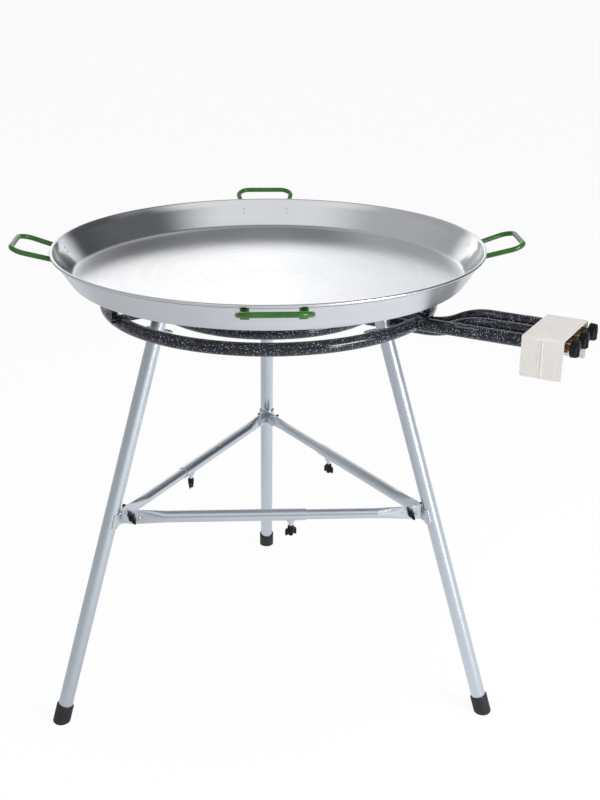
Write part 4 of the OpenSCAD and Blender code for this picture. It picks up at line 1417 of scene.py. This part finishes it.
@dataclass(frozen=True)
class WingShape:
    """Sizes of one winged piece: a blind-bored hub and two ears, standing on z = 0 about the Z axis.

    The hub has its height, the radius of its bore and the radius at its far end. An ear has its reach from
    the axis, its low and high edge, half its thickness at the root and at the tip, and its turn in degrees.
    """

    tall: float
    bore: float
    end: float
    reach: float
    low: float
    high: float
    root: float
    turn: float
    hub: float = 0.0068
    tip: float = 0.0021
    end_wall: float = 0.0012
    shoulder: float = 0.45
    rounding: float = 0.0016
    round_up: float = 0.7
    round_across: float = 0.8
    root_height: float = 0.72
    sag: float = 0.25
    middle: float = 0.0005
    clear: float = 0.0004
    pole: float = 0.499
    corner_steps: int = 6
    hub_sides: int = 48
    ear_rows: int = 25
    ear_sides: int = 36

    def surfaces(self) -> list[Patch]:
        """Works out the hub and the ears.

        The hub is a softened profile turned round the axis. An ear is a rounded lobe over two angles, with
        each coordinate sign(s) |s|^e of a sine or cosine, that thins from root to tip and is taller and
        lifted towards its tip. It starts just clear of the bore, inside the hub.

        Returns:
            Hub and two ears.
        """
        corners = [(self.bore, self.tall - self.end_wall), (self.bore, 0.0), (self.hub, 0.0),
                   (self.hub, self.tall * self.shoulder), (self.end, self.tall), (self.middle, self.tall)]
        hub = Workshop.softened(corners, self.rounding, self.corner_steps)
        patches = [Workshop.lathe(hub, self.hub_sides)]
        u = np.linspace(-self.pole, self.pole, self.ear_rows)[:, None] * math.pi
        v = np.linspace(0.0, 2.0 * math.pi, self.ear_sides, endpoint=False)[None, :]
        start = self.bore + self.clear
        half, rise = (self.reach - start) / 2.0, (self.high - self.low) / 2.0
        level = self.soft(np.cos(u), self.round_up)
        x = half * level * self.soft(np.cos(v), self.round_across)
        out = (x + half) / (2.0 * half)
        thick = self.root + (self.tip - self.root) * out
        y = thick * level * self.soft(np.sin(v), self.round_across)
        lift = (self.low + self.high) / 2.0 + rise * self.sag * (out - 1.0)
        tall = rise * (self.root_height + (1.0 - self.root_height) * out)
        z = tall * self.soft(np.sin(u), self.round_up) + lift
        lobe = np.stack([x + start + half, y, z], axis=-1)
        return patches + [Patch(Workshop.turned(lobe, self.turn + side)) for side in (0.0, 180.0)]

    @staticmethod
    def soft(values: np.ndarray, power: float) -> np.ndarray:
        """Bends sines or cosines to sign(s) |s|^power: below 1 the lobe is boxier."""
        return np.sign(values) * np.abs(values) ** power


@dataclass
class WingScrews:
    """Black plastic wing nuts of the brackets and wing knobs of the brace clamps."""

    bolt_along: float = NUT_PLACE[0]
    nut_seat: float = NUT_PLACE[1]
    brace_height: float = NUT_PLACE[2]
    brace_line: float = CLAMP_PLACE[1]
    clamp_along: float = CLAMP_PLACE[0]
    clamp_top: float = 0.4155
    nut: WingShape = WingShape(tall=0.010, bore=0.00405, end=0.0060, reach=0.0148, low=0.0012, high=0.0122,
                               root=0.0052, turn=-58.0)
    clamp: WingShape = WingShape(tall=0.022, bore=0.00402, end=0.0049, reach=0.0128, low=0.0050, high=0.0232,
                                 root=0.0036, turn=-20.0)
    sharp: float = 60.0

    def build(self, material: bpy.types.Material) -> None:
        """Makes six wing nuts and three clamp knobs.

        Args:
            material: The black plastic.
        """
        for key, azimuth in BRACE_AZIMUTHS.items():
            for end, side in (("a", -1.0), ("b", 1.0)):
                name = f"{key}_{end}"
                grids = [self.on_bolt(grid, side, azimuth) for grid in self.nut.surfaces()]
                Workshop.make("winged_nut_" + name, grids, material, "wing_" + name, "black_plastic",
                              ("wing_nut_" + name,), self.sharp)
            grids = [self.under_brace(grid, azimuth) for grid in self.clamp.surfaces()]
            Workshop.make("winged_clamp_" + key, grids, material, "clamp_" + key, "black_plastic",
                          ("clamp_knob_" + key,), self.sharp)

    def on_bolt(self, grid: Patch, side: float, azimuth: float) -> Patch:
        """Lays a grid's axis level along a bolt and turns it to its brace.

        Args:
            grid: A surface about the Z axis.
            side: -1 or 1 for the brace's two ends.
            azimuth: The brace's heading in degrees.

        Returns:
            The grid in place: x + bolt, seat - z, y + height, turned.
        """
        x, y, z = np.moveaxis(grid.points, -1, 0)
        flat = np.stack([x + side * self.bolt_along, self.nut_seat - z, y + self.brace_height], axis=-1)
        return Patch(Workshop.turned(flat, azimuth))

    def under_brace(self, grid: Patch, azimuth: float) -> Patch:
        """Hangs a grid upside down on a clamp screw and turns it to its brace.

        Args:
            grid: A surface about the Z axis.
            azimuth: The brace's heading in degrees.

        Returns:
            The grid in place: x + clamp, line - y, top - z, turned.
        """
        x, y, z = np.moveaxis(grid.points, -1, 0)
        down = np.stack([x + self.clamp_along, self.brace_line - y, self.clamp_top - z], axis=-1)
        return Patch(Workshop.turned(down, azimuth))


def main() -> None:
    """Builds the studio and dresses the burner, piece by piece."""
    logging.basicConfig(level=logging.INFO, format="%(name)s: %(message)s")
    bpy.context.scene.view_settings.view_transform = "Standard"
    Studio().build()
    wardrobe = Wardrobe(Shared.make())
    wardrobe.dress()
    LOG.info("dressed %d solids", len(frame["nodes"]))
    RolledLip().build(wardrobe.pan)
    CoverSeam().build(wardrobe.cream)
    BurnerWelds().build(wardrobe.enamel)
    BracketWelds().build(wardrobe.plate)
    TapKnobs().build(wardrobe.plastic)
    WingScrews().build(wardrobe.plastic)


if __name__ == "__main__":
    main()
